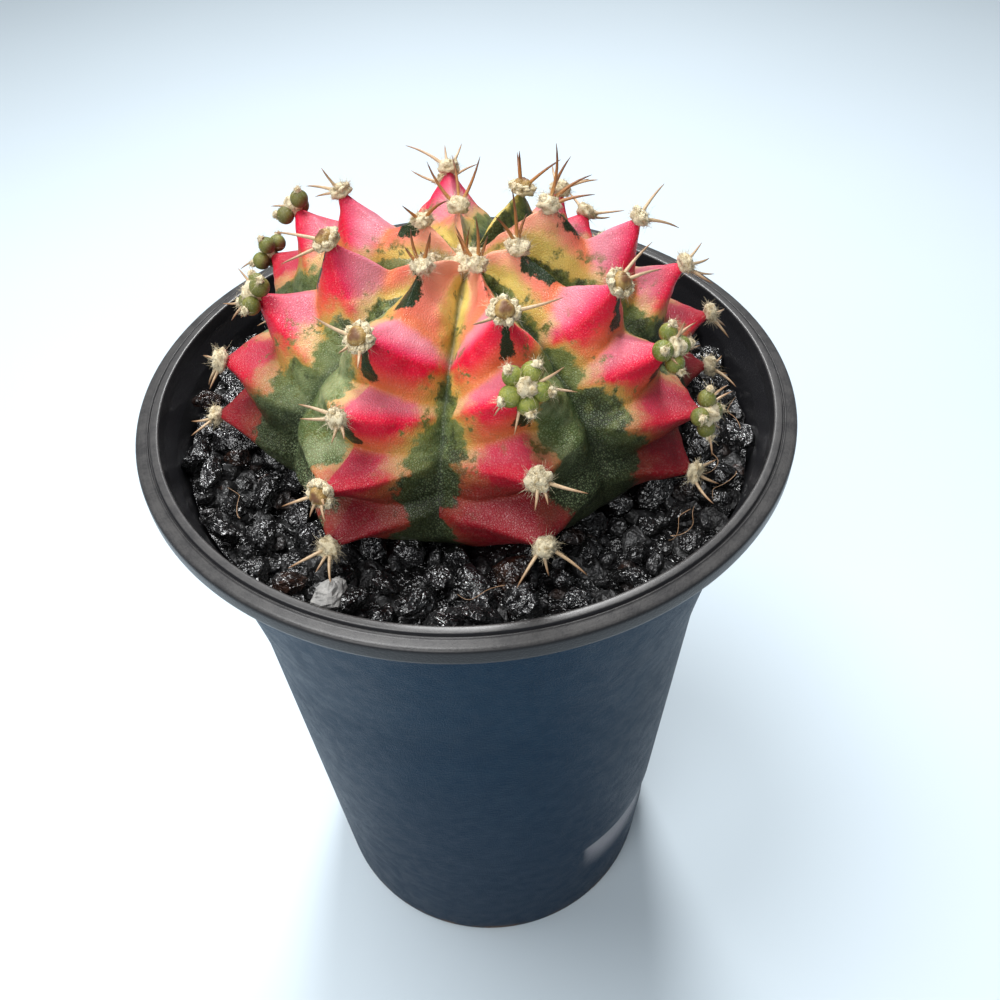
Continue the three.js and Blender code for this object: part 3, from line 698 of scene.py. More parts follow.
class Crown(Areole):
    """The crown's middle, as an areole that looks straight up."""

    def __init__(self):
        self.name, self.number, self.seed = "crown", 0, 5
        self.place = np.array([PLANT_X, PLANT_Y, CORE + CROWN_RADIUS * MM])
        self.side, self.up, self.out = np.eye(3)


# Shader nodes


def colour(value):
    """A colour as a shader takes it: a socket as it is, and three numbers with an alpha of 1."""
    return value if isinstance(value, bpy.types.NodeSocket) else (*value[:3], 1.0)


class Tree:
    """A node tree with short calls that add a node and join its inputs to sockets or plain values."""

    def __init__(self, tree):
        self.nodes, self.links = tree.nodes, tree.links

    def add(self, kind, inputs, **settings):
        node = self.nodes.new(kind)
        for name, value in settings.items():
            setattr(node, name, value)
        for name, value in inputs.items():
            if isinstance(value, bpy.types.NodeSocket):
                self.links.new(value, node.inputs[name])
            else:
                node.inputs[name].default_value = value
        return node

    def math(self, operation, a, b=0.0):
        return self.add("ShaderNodeMath", {0: a, 1: b}, operation=operation).outputs[0]

    plus = partialmethod(math, "ADD")
    minus = partialmethod(math, "SUBTRACT")
    times = partialmethod(math, "MULTIPLY")
    most = partialmethod(math, "MAXIMUM")

    def vector(self, operation, *parts):
        return self.add("ShaderNodeVectorMath", dict(enumerate(parts)), operation=operation).outputs[0]

    def step(self, value, low, high, to_low=0.0, to_high=1.0):
        """A soft step of a value, from to_low below low to to_high above high."""
        inputs = {"Value": value, "From Min": low, "From Max": high, "To Min": to_low, "To Max": to_high}
        return self.add("ShaderNodeMapRange", inputs, interpolation_type="SMOOTHSTEP").outputs[0]

    def mix(self, share, a, b):
        inputs = {0: share, 6: colour(a), 7: colour(b)}
        return self.add("ShaderNodeMix", inputs, data_type="RGBA", clamp_factor=True).outputs[2]

    def mix_value(self, share, a, b):
        """One value turning into another by a share."""
        return self.plus(self.times(self.minus(1.0, share), a), self.times(share, b))

    def value(self, name):
        """A named value of the mesh's points."""
        return self.add("ShaderNodeAttribute", {}, attribute_name=name).outputs["Fac"]

    def place(self):
        """The point's own coordinates on the object."""
        return self.add("ShaderNodeTexCoord", {}).outputs["Object"]

    def normal(self):
        return self.add("ShaderNodeNewGeometry", {}).outputs["Normal"]

    def upright(self, vector):
        """A vector's part along Z."""
        return self.add("ShaderNodeSeparateXYZ", {0: vector}).outputs["Z"]

    def noise(self, vector, size, detail=3.0, roughness=0.55):
        inputs = {"Vector": vector, "Scale": 1 / size, "Detail": detail, "Roughness": roughness}
        return self.add("ShaderNodeTexNoise", inputs).outputs["Fac"]

    def bump(self, height, depth, normal=None):
        """A bump of a height from 0 to 1, with its real depth in metres."""
        inputs = {"Height": height, "Distance": depth, "Strength": 1.0}
        if normal is not None:
            inputs["Normal"] = normal
        return self.add("ShaderNodeBump", inputs).outputs["Normal"]

    def group(self, group, vector, size, **inputs):
        """An effect of one size: the outputs of its node group."""
        inputs = {"Vector": vector, "Scale": 1 / size, **inputs}
        return self.add("ShaderNodeGroup", inputs, node_tree=group).outputs


def effect(name, inputs, build):
    """A shader node group, made once. Inputs are names with defaults, None for a vector. The group gives out
    what its build function returns."""
    if name in bpy.data.node_groups:
        return bpy.data.node_groups[name]
    group = bpy.data.node_groups.new(name, "ShaderNodeTree")
    for label, default in inputs.items():
        kind = "NodeSocketVector" if default is None else "NodeSocketFloat"
        socket = group.interface.new_socket(label, in_out="INPUT", socket_type=kind)
        if default is not None:
            socket.default_value = default
    built = build(Tree(group), group.nodes.new("NodeGroupInput").outputs)
    for label, socket in built.items():
        kind = "NodeSocketVector" if socket.type == "VECTOR" else "NodeSocketFloat"
        group.interface.new_socket(label, in_out="OUTPUT", socket_type=kind)
    sink = group.nodes.new("NodeGroupOutput")
    for label, socket in built.items():
        group.links.new(socket, sink.inputs[label])
    return group


def pores():
    """Fine round grains close together: their height, and a mask of their lit tops."""
    def build(tree, source):
        where = {"Vector": source["Vector"], "Scale": source["Scale"]}
        cells = tree.add("ShaderNodeTexVoronoi", where, feature="DISTANCE_TO_EDGE").outputs["Distance"]
        fine = tree.add("ShaderNodeTexNoise", {**where, "Detail": 2.0}).outputs["Fac"]
        height = tree.times(tree.step(cells, 0.0, 0.24), tree.step(fine, 0.2, 0.7, 0.5, 1.0))
        return {"Height": height, "Tops": tree.step(height, 0.35, 1.0)}
    return effect("Pores", {"Vector": None, "Scale": 2500.0}, build)


def mottle():
    """A patchy mask of two sizes of noise. Cover says how much of the surface is in the mask."""
    def build(tree, source):
        place, scale = source["Vector"], source["Scale"]
        broad = tree.add("ShaderNodeTexNoise", {"Vector": place, "Scale": scale, "Detail": 4.0})
        finer = tree.times(scale, 5.0)
        small = tree.add("ShaderNodeTexNoise", {"Vector": place, "Scale": finer, "Detail": 3.0})
        both = tree.plus(tree.times(broad.outputs["Fac"], 0.65), tree.times(small.outputs["Fac"], 0.35))
        edge = tree.minus(0.68, tree.times(source["Cover"], 0.36))
        return {"Mask": tree.step(tree.minus(both, edge), -0.05, 0.05), "Tone": both}
    return effect("Mottle", {"Vector": None, "Scale": 300.0, "Cover": 0.5}, build)


def facets():
    """Directions of broken faces: each cell of a pattern leans the surface's own direction its own way."""
    def build(tree, source):
        cells = tree.add("ShaderNodeTexVoronoi", {"Vector": source["Vector"], "Scale": source["Scale"]})
        lean = tree.vector("SUBTRACT", cells.outputs["Color"], (0.5, 0.5, 0.5))
        scaled = tree.add("ShaderNodeVectorMath", {0: lean, "Scale": source["Lean"]}, operation="SCALE")
        leant = tree.vector("ADD", source["Normal"], scaled.outputs[0])
        return {"Normal": tree.vector("NORMALIZE", leant)}
    return effect("Facets", {"Vector": None, "Scale": 700.0, "Lean": 1.0, "Normal": None}, build)


def material(name, build, **constants):
    """A material whose build function returns what goes into the shader. Constants are set on its sockets."""
    made = bpy.data.materials.new(name)
    made.use_nodes = True
    shader = made.node_tree.nodes["Principled BSDF"]
    for label, value in constants.items():
        shader.inputs[label.replace("_", " ")].default_value = value
    for label, socket in build(Tree(made.node_tree)).items():
        made.node_tree.links.new(socket, shader.inputs[label])
    return made


# Materials. The limits of their steps are shares of a pattern's tone or of a value of the mesh

# Heights between which the pot's looks change: the rim's colour, its dust, the wall's shade, the earth stains
RIM_COLOUR = (106.6 * MM, 106.9 * MM)
RIM_DUST = (108.6 * MM, 109.4 * MM)
WALL_SHADE = (10 * MM, 100 * MM)
EARTH_STAINS = (2.5 * MM, 0.5 * MM)

# How far the lines in the rim's dust run round it, partly real dust and partly painted highlight streaks:
# their thickness, and how little they change with the place
DUST_AND_SHEEN_LINE = 0.35 * MM
DUST_AND_SHEEN_RUN = 0.05

# Pattern sizes and relief of the plastic and the skin
RIM_PATCH, WALL_STREAK, PLASTIC_GRAIN, SCRATCH = 2.2 * MM, 9 * MM, 0.42 * MM, 0.6 * MM
PLASTIC_GRAIN_DEPTH, SCRATCH_DEPTH = 0.035 * MM, 0.03 * MM
SKIN_PATCH, SKIN_SPOT, SKIN_FIBRE, SKIN_GRAIN = 5 * MM, 1.2 * MM, 0.45 * MM, 0.30 * MM
SKIN_TONE, SKIN_FLECK, SKIN_BLOT, SKIN_SWELL = 4 * MM, 2.4 * MM, 6.5 * MM, 0.3 * MM

# A stone: lean of its broken faces, depth of its wrinkles, lowest and highest roughness, refraction
LAVA_FINISH = (0.4, 0.9 * MM, 0.10, 0.26, 1.9)
PALE_FINISH = (0.2, 0.2 * MM, 0.5, 0.8, 1.5)
DEEP_ROUGHNESS = 0.55
STONE_SWIRL, STONE_WARP = 1.5 * MM, 1.6 * MM
STONE_FACE, STONE_CHIP, STONE_WRINKLE = 1.3 * MM, 0.40 * MM, 1.1 * MM


def plastic_material(settings):
    """Satin navy plastic with a fine grain, with painted shade darker towards the foot. The rim and the
    inside have a satin coat, the top of the rim is dusty and scuffed, its dust lies in lines that are partly
    painted highlight streaks, the foot is stained and the pressed hollow has a painted pale highlight."""
    def build(tree):
        place = tree.place()
        height = tree.upright(place)
        top = tree.times(tree.step(height, *RIM_DUST), tree.step(tree.upright(tree.normal()), 0.4, 0.95))
        patches = tree.group(mottle(), place, RIM_PATCH, Cover=0.62)["Tone"]
        streaks = tree.group(mottle(), place, WALL_STREAK, Cover=0.5)["Tone"]
        # Painted shade: the wall darkens from the rim towards the foot
        base = tree.mix(tree.step(height, *WALL_SHADE), settings.plastic_low, settings.plastic)
        base = tree.mix(tree.step(streaks, 0.35, 0.7, 0.0, 0.35), base, settings.plastic_low)
        inner = tree.most(tree.step(height, *RIM_COLOUR), tree.minus(1.0, tree.value("outside")))
        base = tree.mix(inner, base, settings.rim)
        flat = tree.vector("MULTIPLY", place, (1.0, 1.0, 0.0))
        radius = tree.add("ShaderNodeVectorMath", {0: flat}, operation="LENGTH").outputs["Value"]
        around = tree.add("ShaderNodeCombineXYZ", {"X": radius, "Y": radius, "Z": radius}).outputs[0]
        run = tree.vector("ADD", tree.vector("MULTIPLY", place, (DUST_AND_SHEEN_RUN, DUST_AND_SHEEN_RUN, 1.0)), around)
        # Lines in the dust that are partly painted highlight streaks along the rim
        dust_and_sheen_lines = tree.step(tree.noise(run, DUST_AND_SHEEN_LINE, 2.0), 0.35, 0.65, 0.88, 1.06)
        dust = tree.times(top, tree.times(tree.step(patches, 0.36, 0.62, 0.5, 1.0), dust_and_sheen_lines))
        base = tree.mix(dust, base, settings.dust)
        # Painted highlight: the pressed hollow's lit face is painted pale grey
        base = tree.mix(tree.step(tree.value("hollow"), 0.05, 0.45), base, settings.hollow_highlight)
        soiled = tree.times(tree.step(height, *EARTH_STAINS), tree.step(streaks, 0.45, 0.6))
        base = tree.mix(soiled, base, settings.earth)
        rough = tree.plus(tree.step(patches, 0.3, 0.7, 0.36, 0.48), tree.times(dust, 0.15))
        grain = tree.bump(tree.group(pores(), place, PLASTIC_GRAIN)["Height"], PLASTIC_GRAIN_DEPTH)
        normal = tree.bump(tree.noise(place, SCRATCH, 5.0), SCRATCH_DEPTH, grain)
        coat = tree.times(inner, 0.6)
        return {"Base Color": base, "Roughness": rough, "Normal": normal, "Coat Weight": coat}
    return material("Pot plastic", build, IOR=1.46, Specular_IOR_Level=0.08, Coat_Roughness=0.3)


def mix_material():
    """Dark crumbly potting mix with lighter bark."""
    def build(tree):
        place = tree.place()
        bark = tree.group(mottle(), place, 4 * MM, Cover=0.35)["Mask"]
        base = tree.mix(bark, (0.018, 0.012, 0.008), (0.09, 0.05, 0.028))
        return {"Base Color": base, "Normal": tree.bump(tree.noise(place, 1.5 * MM, 6.0, 0.7), 0.8 * MM)}
    return material("Potting mix", build, Roughness=0.95)


def stone_material(name, settings, pale):
    """Broken lava: near black, glossy on its fresh faces, some stones rusty. The pale one is a grey pebble
    with the same grain. Stones that lie deep are dull."""
    lean, depth, low, high, refraction = PALE_FINISH if pale else LAVA_FINISH

    def build(tree):
        place = tree.place()
        tones = tree.group(mottle(), place, STONE_FACE, Cover=0.45)["Tone"]
        dark, light = (settings.pale, settings.pale_light) if pale else (settings.lava, settings.lava_light)
        base = tree.mix(tree.step(tones, 0.36, 0.66), dark, light)
        if not pale:
            rusty = tree.step(tree.value("tint"), 0.86, 0.95)
            rusty = tree.times(rusty, tree.step(tones, 0.4, 0.56, 1.0, 0.2))
            base = tree.mix(rusty, base, settings.rust)
        swirl = tree.add("ShaderNodeTexNoise", {"Vector": place, "Scale": 1 / STONE_SWIRL}).outputs["Color"]
        warped = tree.vector("MULTIPLY_ADD", swirl, (STONE_WARP,) * 3, place)
        normal = tree.normal()
        for size in (STONE_FACE, STONE_CHIP):
            normal = tree.group(facets(), warped, size, Lean=lean, Normal=normal)["Normal"]
        wrinkles = tree.math("ABSOLUTE", tree.minus(tree.noise(warped, STONE_WRINKLE, 2.5, 0.55), 0.5))
        rough = tree.step(tree.noise(place, 0.7 * MM, 3.0), 0.35, 0.65, low, high)
        rough = tree.mix_value(tree.value("deep"), rough, DEEP_ROUGHNESS)
        return {"Base Color": base, "Roughness": rough, "Normal": tree.bump(wrinkles, depth, normal)}

    return material(name, build, IOR=refraction)


def skin_material(settings):
    """The plant's skin. Shelves over the areoles are pink and the walls under them crimson, partly their own
    colours
    and partly painted light: the up-facing shelves and the upper part are painted lighter and the walls
    darker, and so are the peach and ochre between red and green. The crown is salmon, and each flank turns
    ochre or peach and then green towards its furrow. Dark dashes hang under the areoles, saddles and patches
    of dark green lie on it, the furrow's crease and the skin near the gravel get painted shade, and the
    grains' tops get painted sheen and glints."""
    def build(tree):
        place = tree.place()
        names = ("shelf", "notch", "crown", "upper", "pale")
        shelf, depth, crown, upper, silvery = [tree.value(name) for name in names]
        broad = tree.noise(place, SKIN_PATCH, 3.0)
        small = tree.noise(place, SKIN_SPOT, 4.0, 0.65)
        uneven = tree.minus(small, 0.5)
        wobble = tree.plus(tree.times(tree.minus(broad, 0.5), 0.5), tree.times(uneven, 0.36))
        flank = tree.plus(tree.value("flank"), wobble)

        # Reds, and what they turn to before the green
        # Partly painted light: up-facing shelves are painted lighter pink and peach, the walls under them
        # darker crimson and ochre, and the upper part brighter than the lower
        wall = tree.mix(tree.step(depth, 0.22, 0.95), settings.crimson, settings.coral)
        edge = tree.mix(upper, settings.crimson, settings.hot_pink)
        back = tree.mix(upper, settings.rose, settings.pink)
        red = tree.mix(shelf, wall, tree.mix(tree.step(depth, 0.0, 0.55), edge, back))
        red = tree.mix(tree.times(crown, 0.85), red, settings.salmon)
        warm = tree.mix(shelf, settings.ochre, settings.peach)
        warm = tree.mix(crown, warm, settings.yellow)
        turning = tree.step(tree.plus(flank, tree.times(crown, 0.3)), -0.34, 0.02)
        body = tree.mix(tree.times(turning, 0.9), red, warm)

        # Greens, with flecks before their edge, dark blots, and painted shade along their creases
        tones = tree.group(mottle(), place, SKIN_TONE, Cover=0.4)["Tone"]
        pale = tree.mix(tree.step(tones, 0.36, 0.6), settings.pale_green, settings.green)
        deep = tree.mix(tree.step(tones, 0.4, 0.6), settings.green, settings.deep_green)
        fresh = tree.mix(tree.step(flank, 0.02, 0.3, 0.8, 0.0), deep, settings.olive)
        cover = tree.step(flank, -0.04, 0.05)
        body = tree.mix(cover, body, tree.mix(silvery, fresh, pale))
        flecks = tree.group(mottle(), place, SKIN_FLECK, Cover=0.24)["Mask"]
        flecks = tree.times(flecks, tree.step(flank, -0.55, -0.2))
        body = tree.mix(flecks, body, tree.mix(small, settings.deep_green, settings.olive))
        blots = tree.times(tree.group(mottle(), place, SKIN_BLOT, Cover=0.4)["Mask"], cover)
        body = tree.mix(tree.times(blots, tree.step(silvery, 0.9, 0.4, 0.0, 0.8)), body, settings.shadow)
        # Painted shade: a dark green line along the furrow's crease
        body = tree.mix(tree.times(tree.value("crease"), 0.8), body, settings.deep_green)
        # Painted shade: the skin near the gravel darkens to deep red and black-green
        painted_shade = tree.mix(cover, settings.shaded_red, settings.shadow)
        body = tree.mix(tree.times(tree.value("low"), 0.92), body, painted_shade)

        # Dashes and saddles with ragged edges
        fibres = tree.minus(tree.noise(place, SKIN_FIBRE, 4.0, 0.7), 0.5)
        ragged = tree.plus(tree.times(uneven, 1.5), tree.times(fibres, 1.4))
        dash = tree.step(tree.plus(tree.value("dash"), ragged), 0.34, 0.66)
        saddle = tree.step(tree.plus(tree.value("saddle"), ragged), 0.36, 0.62)
        for mark in (dash, saddle):
            body = tree.mix(mark, body, settings.saddle)

        # The grains' tops: painted sheen on the green and on the saddles, and painted glints on the red
        grains = tree.group(pores(), place, SKIN_GRAIN)
        silver = tree.step(silvery, 0.3, 1.0, 0.36, 0.8)
        sheen_reach = tree.most(tree.times(cover, silver), tree.times(saddle, 0.2))
        patchy = tree.times(sheen_reach, tree.step(broad, 0.3, 0.65, 0.3, 0.85))
        body = tree.mix(tree.times(grains["Tops"], patchy), body, settings.grain_sheen)
        clear = tree.minus(1.0, tree.most(cover, tree.most(dash, saddle)))
        # Painted glints on the tops of the grains on the red skin
        glint_share = tree.times(clear, tree.step(small, 0.3, 0.7, 0.01, 0.08))
        body = tree.mix(tree.times(grains["Tops"], glint_share), body, settings.grain_glint)
        normal = tree.bump(grains["Height"], settings.grain_depth, tree.bump(broad, SKIN_SWELL))
        return {"Base Color": body, "Roughness": tree.step(small, 0.3, 0.7, 0.30, 0.44), "Normal": normal}
    return material("Cactus skin", build, IOR=1.4, Specular_IOR_Level=0.4, Subsurface_Weight=0.10,
                    Subsurface_Scale=0.001, Subsurface_Radius=(1.0, 0.35, 0.2))


def offset_material(settings):
    """Young olive-green skin, paler in places, yellow-brown where it is old and brown at its foot, with
    painted sheen on its grains' tops.
    """
    def build(tree):
        place = tree.place()
        tones = tree.group(mottle(), place, 1.2 * MM, Cover=0.5)["Tone"]
        base = tree.mix(tree.step(tones, 0.35, 0.65), settings.offset_green, settings.offset_pale)
        base = tree.mix(tree.times(tree.value("age"), 0.8), base, settings.offset_old)
        base = tree.mix(tree.step(tree.value("height"), 0.35, 0.0), base, settings.offset_foot)
        grains = tree.group(pores(), place, 0.25 * MM)
        # Painted sheen on the grains' tops
        base = tree.mix(tree.times(grains["Tops"], 0.1), base, settings.grain_sheen)
        return {"Base Color": base, "Normal": tree.bump(grains["Height"], 0.03 * MM)}
    return material("Offset skin", build, Roughness=0.42, IOR=1.42, Subsurface_Weight=0.12,
                    Subsurface_Scale=0.0012, Subsurface_Radius=(0.8, 0.7, 0.2))


def bud_material(settings):
    """A tight bud: tan-olive scales with a brown middle."""
    def build(tree):
        tones = tree.group(mottle(), tree.place(), 0.7 * MM, Cover=0.5)["Tone"]
        base = tree.mix(tree.step(tones, 0.35, 0.65), settings.bud, settings.bud_light)
        base = tree.mix(tree.step(tree.value("height"), 0.86, 1.0), base, settings.bud_tip)
        return {"Base Color": base, "Normal": tree.bump(tones, 0.15 * MM)}
    return material("Bud", build, Roughness=0.45, IOR=1.42)


def wool_material(settings):
    """Matted cream wool, browner in its folds."""
    def build(tree):
        place = tree.place()
        tones = tree.group(mottle(), place, 0.6 * MM, Cover=0.6)["Tone"]
        base = tree.mix(tree.step(tones, 0.34, 0.58), settings.wool_fold, settings.wool)
        return {"Base Color": base, "Normal": tree.bump(tree.noise(place, 0.14 * MM, 4.0, 0.7), 0.12 * MM)}
    return material("Areole wool", build, Roughness=0.92, Sheen_Weight=0.35, Sheen_Roughness=0.4)


def spine_material(name, low, middle, tip):
    """A horny spine whose colour runs along it from its foot to its tip, with faint streaks."""
    def build(tree):
        reach = tree.value("along")
        base = tree.mix(tree.step(reach, 0.0, 0.5), low, middle)
        base = tree.mix(tree.step(reach, 0.45, 1.0), base, tip)
        streaks = tree.noise(tree.place(), 0.25 * MM, 3.0)
        base = tree.mix(tree.step(streaks, 0.3, 0.75, 0.0, 0.4), base, tip)
        return {"Base Color": base, "Normal": tree.bump(streaks, 0.03 * MM)}
    return material(name, build, Roughness=0.38, IOR=1.5)


def floor_material(settings):
    """A plain pale floor, very slightly uneven in tone."""
    def build(tree):
        shade = [0.94 * part for part in settings.floor]
        return {"Base Color": tree.mix(tree.noise(tree.place(), 0.15, 2.0), settings.floor, shade)}
    return material("Floor", build, Roughness=0.6)


# Settings


def size_property(name, description, default):
    return bpy.props.FloatProperty(name=name, description=description, default=default, min=0, unit="LENGTH")


def colour_property(name, description, default):
    return bpy.props.FloatVectorProperty(
        name=name, description=description, default=default, size=3, min=0, max=1, subtype="COLOR")


def power_property(name, description, default):
    return bpy.props.FloatProperty(name=name, description=description, default=default, min=0, unit="POWER")


class PotSettings(bpy.types.PropertyGroup):
    """The pot's finish"""

    sides: bpy.props.IntProperty(name="Sides", description="Steps round the pot's wall", default=240, min=24)
    plastic: colour_property("Plastic", "Colour of the wall near the rim", (0.004, 0.028, 0.060))
    # Painted shade: the wall's darker colour near the foot
    plastic_low: colour_property("Plastic, low", "Colour of the wall near the foot", (0.003, 0.018, 0.042))
    rim: colour_property("Rim", "Colour of the rim's plastic", (0.012, 0.012, 0.014))
    dust: colour_property("Dust", "Colour of the dust on the rim", (0.060, 0.058, 0.057))
    # Painted highlight on the pressed hollow's lit face
    hollow_highlight: colour_property("Worn hollow", "Colour of the plastic in the pressed hollow", (0.30, 0.29, 0.31))
    earth: colour_property("Earth", "Colour of the soil stains on the foot", (0.10, 0.055, 0.030))


class GravelSettings(bpy.types.PropertyGroup):
    """The stones on the potting mix"""

    smallest: size_property("Smallest stone", "Radius of the smallest stone", 1.5 * MM)
    largest: size_property("Largest stone", "Radius of the largest stone", 2.6 * MM)
    seed: bpy.props.IntProperty(name="Seed", description="Start of the stones' random draws", default=7)
    lava: colour_property("Lava", "Colour of the stones", (0.0025, 0.0025, 0.0028))
    lava_light: colour_property("Lava, lit", "Colour of the stones' dusty places", (0.014, 0.0135, 0.014))
    rust: colour_property("Rust", "Colour of the rusty stones", (0.040, 0.017, 0.010))
    pale: colour_property("Pale stone", "Colour of the one pale stone", (0.30, 0.295, 0.285))
    pale_light: colour_property("Pale stone, lit", "Colour of its lighter places", (0.42, 0.41, 0.39))


class PlantSettings(bpy.types.PropertyGroup):
    """The colours and the grain of the plant's skin"""

    pink: colour_property("Pink", "Colour of the shelves over the areoles", (0.66, 0.21, 0.27))
    rose: colour_property("Rose", "Colour of the lower shelves", (0.54, 0.04, 0.08))
    hot_pink: colour_property("Hot pink", "Colour of the shelves' edges", (0.7, 0.022, 0.1))
    crimson: colour_property("Crimson", "Colour right under the areoles", (0.7, 0.006, 0.036))
    coral: colour_property("Coral", "Colour of the notches' bottoms", (0.66, 0.17, 0.055))
    salmon: colour_property("Salmon", "Colour of the crown", (0.86, 0.42, 0.26))
    yellow: colour_property("Yellow", "Colour between salmon and green at the crown", (0.56, 0.46, 0.1))
    peach: colour_property("Peach", "Colour between pink and green on the shelves", (0.6, 0.41, 0.16))
    ochre: colour_property("Ochre", "Colour between red and green on the walls", (0.46, 0.3, 0.06))
    olive: colour_property("Olive", "Colour where the green starts", (0.19, 0.2, 0.04))
    green: colour_property("Green", "Colour of the furrows", (0.082, 0.118, 0.03))
    pale_green: colour_property("Pale green", "Colour of the silvery flanks", (0.27, 0.3, 0.145))
    deep_green: colour_property("Deep green", "Colour of the furrows' darker places", (0.018, 0.03, 0.009))
    saddle: colour_property("Saddles", "Colour of the dark patches near the crown", (0.012, 0.028, 0.008))
    shadow: colour_property("Dashes", "Colour of the dark dashes and patches", (0.012, 0.016, 0.006))
    # Painted shade colour of the red skin near the gravel
    shaded_red: colour_property("Foot", "Colour of the red skin near the gravel", (0.17, 0.005, 0.009))
    # Painted sheen on the tops of the grains on green
    grain_sheen: colour_property("Frost", "Colour of the grains' lit tops on green", (0.27, 0.34, 0.17))
    # Painted glints on the tops of the grains on red
    grain_glint: colour_property("Bloom", "Colour of the grains' lit tops on red", (0.92, 0.66, 0.55))
    grain_depth: size_property("Grain depth", "Height of the skin's grains", 0.042 * MM)


class AreoleSettings(bpy.types.PropertyGroup):
    """The wool, the spines and the offsets"""

    fibres: bpy.props.IntProperty(
        name="Fibres", description="Loose fibres on a wool cushion", default=240, min=0)
    spine_radius: size_property("Spine radius", "Radius of a spine near its foot", 0.21 * MM)
    wool: colour_property("Wool", "Colour of the wool", (0.8, 0.7, 0.48))
    wool_fold: colour_property("Wool folds", "Colour of the wool's folds", (0.40, 0.29, 0.13))
    spine_foot: colour_property("Spine foot", "Colour of a spine's foot", (0.66, 0.50, 0.28))
    spine_middle: colour_property("Spine middle", "Colour of a spine's middle", (0.60, 0.44, 0.27))
    spine_tip: colour_property("Spine tip", "Colour of a spine's tip", (0.30, 0.16, 0.08))
    young_foot: colour_property("Young spine foot", "Colour of a crown spine's foot", (0.62, 0.31, 0.08))
    young_middle: colour_property("Young spine middle", "Colour of its middle", (0.42, 0.17, 0.045))
    young_tip: colour_property("Young spine tip", "Colour of its tip", (0.10, 0.035, 0.015))
    offset_green: colour_property("Offset green", "Colour of the offsets", (0.12, 0.165, 0.02))
    offset_pale: colour_property("Offset, pale", "Colour of the offsets' pale places", (0.29, 0.3, 0.055))
    offset_old: colour_property("Offset, old", "Colour of the older offsets", (0.10, 0.085, 0.022))
    offset_foot: colour_property("Offset foot", "Colour at the foot of the offsets", (0.10, 0.05, 0.02))
    bud: colour_property("Bud", "Colour of the buds", (0.25, 0.14, 0.04))
    bud_light: colour_property("Bud, pale", "Colour of the buds' pale places", (0.44, 0.29, 0.10))
    bud_tip: colour_property("Bud tip", "Colour of the buds' middles", (0.16, 0.07, 0.03))
    # Painted sheen on the tops of the offsets' grains
    grain_sheen: colour_property("Frost", "Colour of the grains' lit tops", (0.62, 0.64, 0.48))


class StageSettings(bpy.types.PropertyGroup):
    """The floor, the lights and the camera"""

    floor: colour_property("Floor", "Colour of the floor", (0.66, 0.76, 0.83))
    key: power_property("Key light", "Power of the key light", 2.1)
    fill: power_property("Fill light", "Power of the fill light", 1.5)
    window: power_property("Window light", "Power of the light from behind", 2.8)
    sky: bpy.props.FloatProperty(
        name="Sky", description="Strength of the even light all round", default=0.22, min=0)


class CactusSettings(bpy.types.PropertyGroup):
    """All settings of the potted cactus"""

    pot: bpy.props.PointerProperty(type=PotSettings)
    gravel: bpy.props.PointerProperty(type=GravelSettings)
    plant: bpy.props.PointerProperty(type=PlantSettings)
    areoles: bpy.props.PointerProperty(type=AreoleSettings)
    stage: bpy.props.PointerProperty(type=StageSettings)


# Operators


class CACTUS_OT_pot(bpy.types.Operator):
    """Turn the pot's wall, foot and rim, and cut its drainage holes"""

    bl_idname = "potted_cactus.pot"
    bl_label = "Pot"

    def execute(self, context):
        settings = context.scene.potted_cactus.pot
        profile = pot_profile()
        round_wall = turned(profile[1:-1], settings.sides)
        hollow = press(round_wall)
        scale = 1 - PRESS_DEPTH * hollow / np.maximum(profile[1:-1, :1], MM)
        points = round_wall * np.stack([scale, scale, np.ones_like(scale)], -1)
        before_top = np.arange(len(profile) - 2) < profile[1:-1, 1].argmax()
        outside = np.repeat(before_top, settings.sides)
        ends = [np.array([[0, 0, profile[i, 1]]]) for i in (0, -1)]
        wall = Shells()
        hollow, outside = [np.concatenate([[0], value.ravel(), [0]]) for value in (hollow, outside)]
        wall.add(closed(ends[0], points[None], ends[1]), len(profile) - 2, settings.sides,
                 hollow=hollow, outside=outside)
        made = wall.piece("pot_moulding", [plastic_material(settings)])
        self.drill(made)
        dress(made, "pot_plastic", "pot")
        return {"FINISHED"}

    def drill(self, made):
        """Cuts the drainage holes: one in the middle and the others evenly on a circle, as round posts."""
        turn = (np.arange(DRAIN_COUNT) + 0.5) * 2 * math.pi / DRAIN_COUNT
        centres = DRAIN_CIRCLE * np.stack([np.sin(turn), np.cos(turn), 0 * turn], -1)
        centres = np.concatenate([[[0, 0, 0]], centres])
        ends = np.array([-DRAIN_SPARE, FLOOR_TOP + DRAIN_SPARE])
        paths = centres[:, None] + np.stack([0 * ends, 0 * ends, ends], -1)
        posts = Shells()
        posts.add_rods(paths, DRAIN_RADIUS, DRAIN_SIDES)
        tool = posts.piece("drain_posts", [])
        cut = made.modifiers.new("Drains", "BOOLEAN")
        cut.operation, cut.solver, cut.object = "DIFFERENCE", "MANIFOLD", tool
        graph = bpy.context.evaluated_depsgraph_get()
        whole = bpy.data.meshes.new_from_object(made.evaluated_get(graph))
        made.modifiers.clear()
        made.data = whole
        bpy.data.objects.remove(tool)


class CACTUS_OT_soil(bpy.types.Operator):
    """Give the potting mix under the gravel its finish"""

    bl_idname = "potted_cactus.soil"
    bl_label = "Potting mix"

    def execute(self, context):
        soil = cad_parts["soil"]
        soil.data.materials.clear()
        soil.data.materials.append(mix_material())
        return {"FINISHED"}


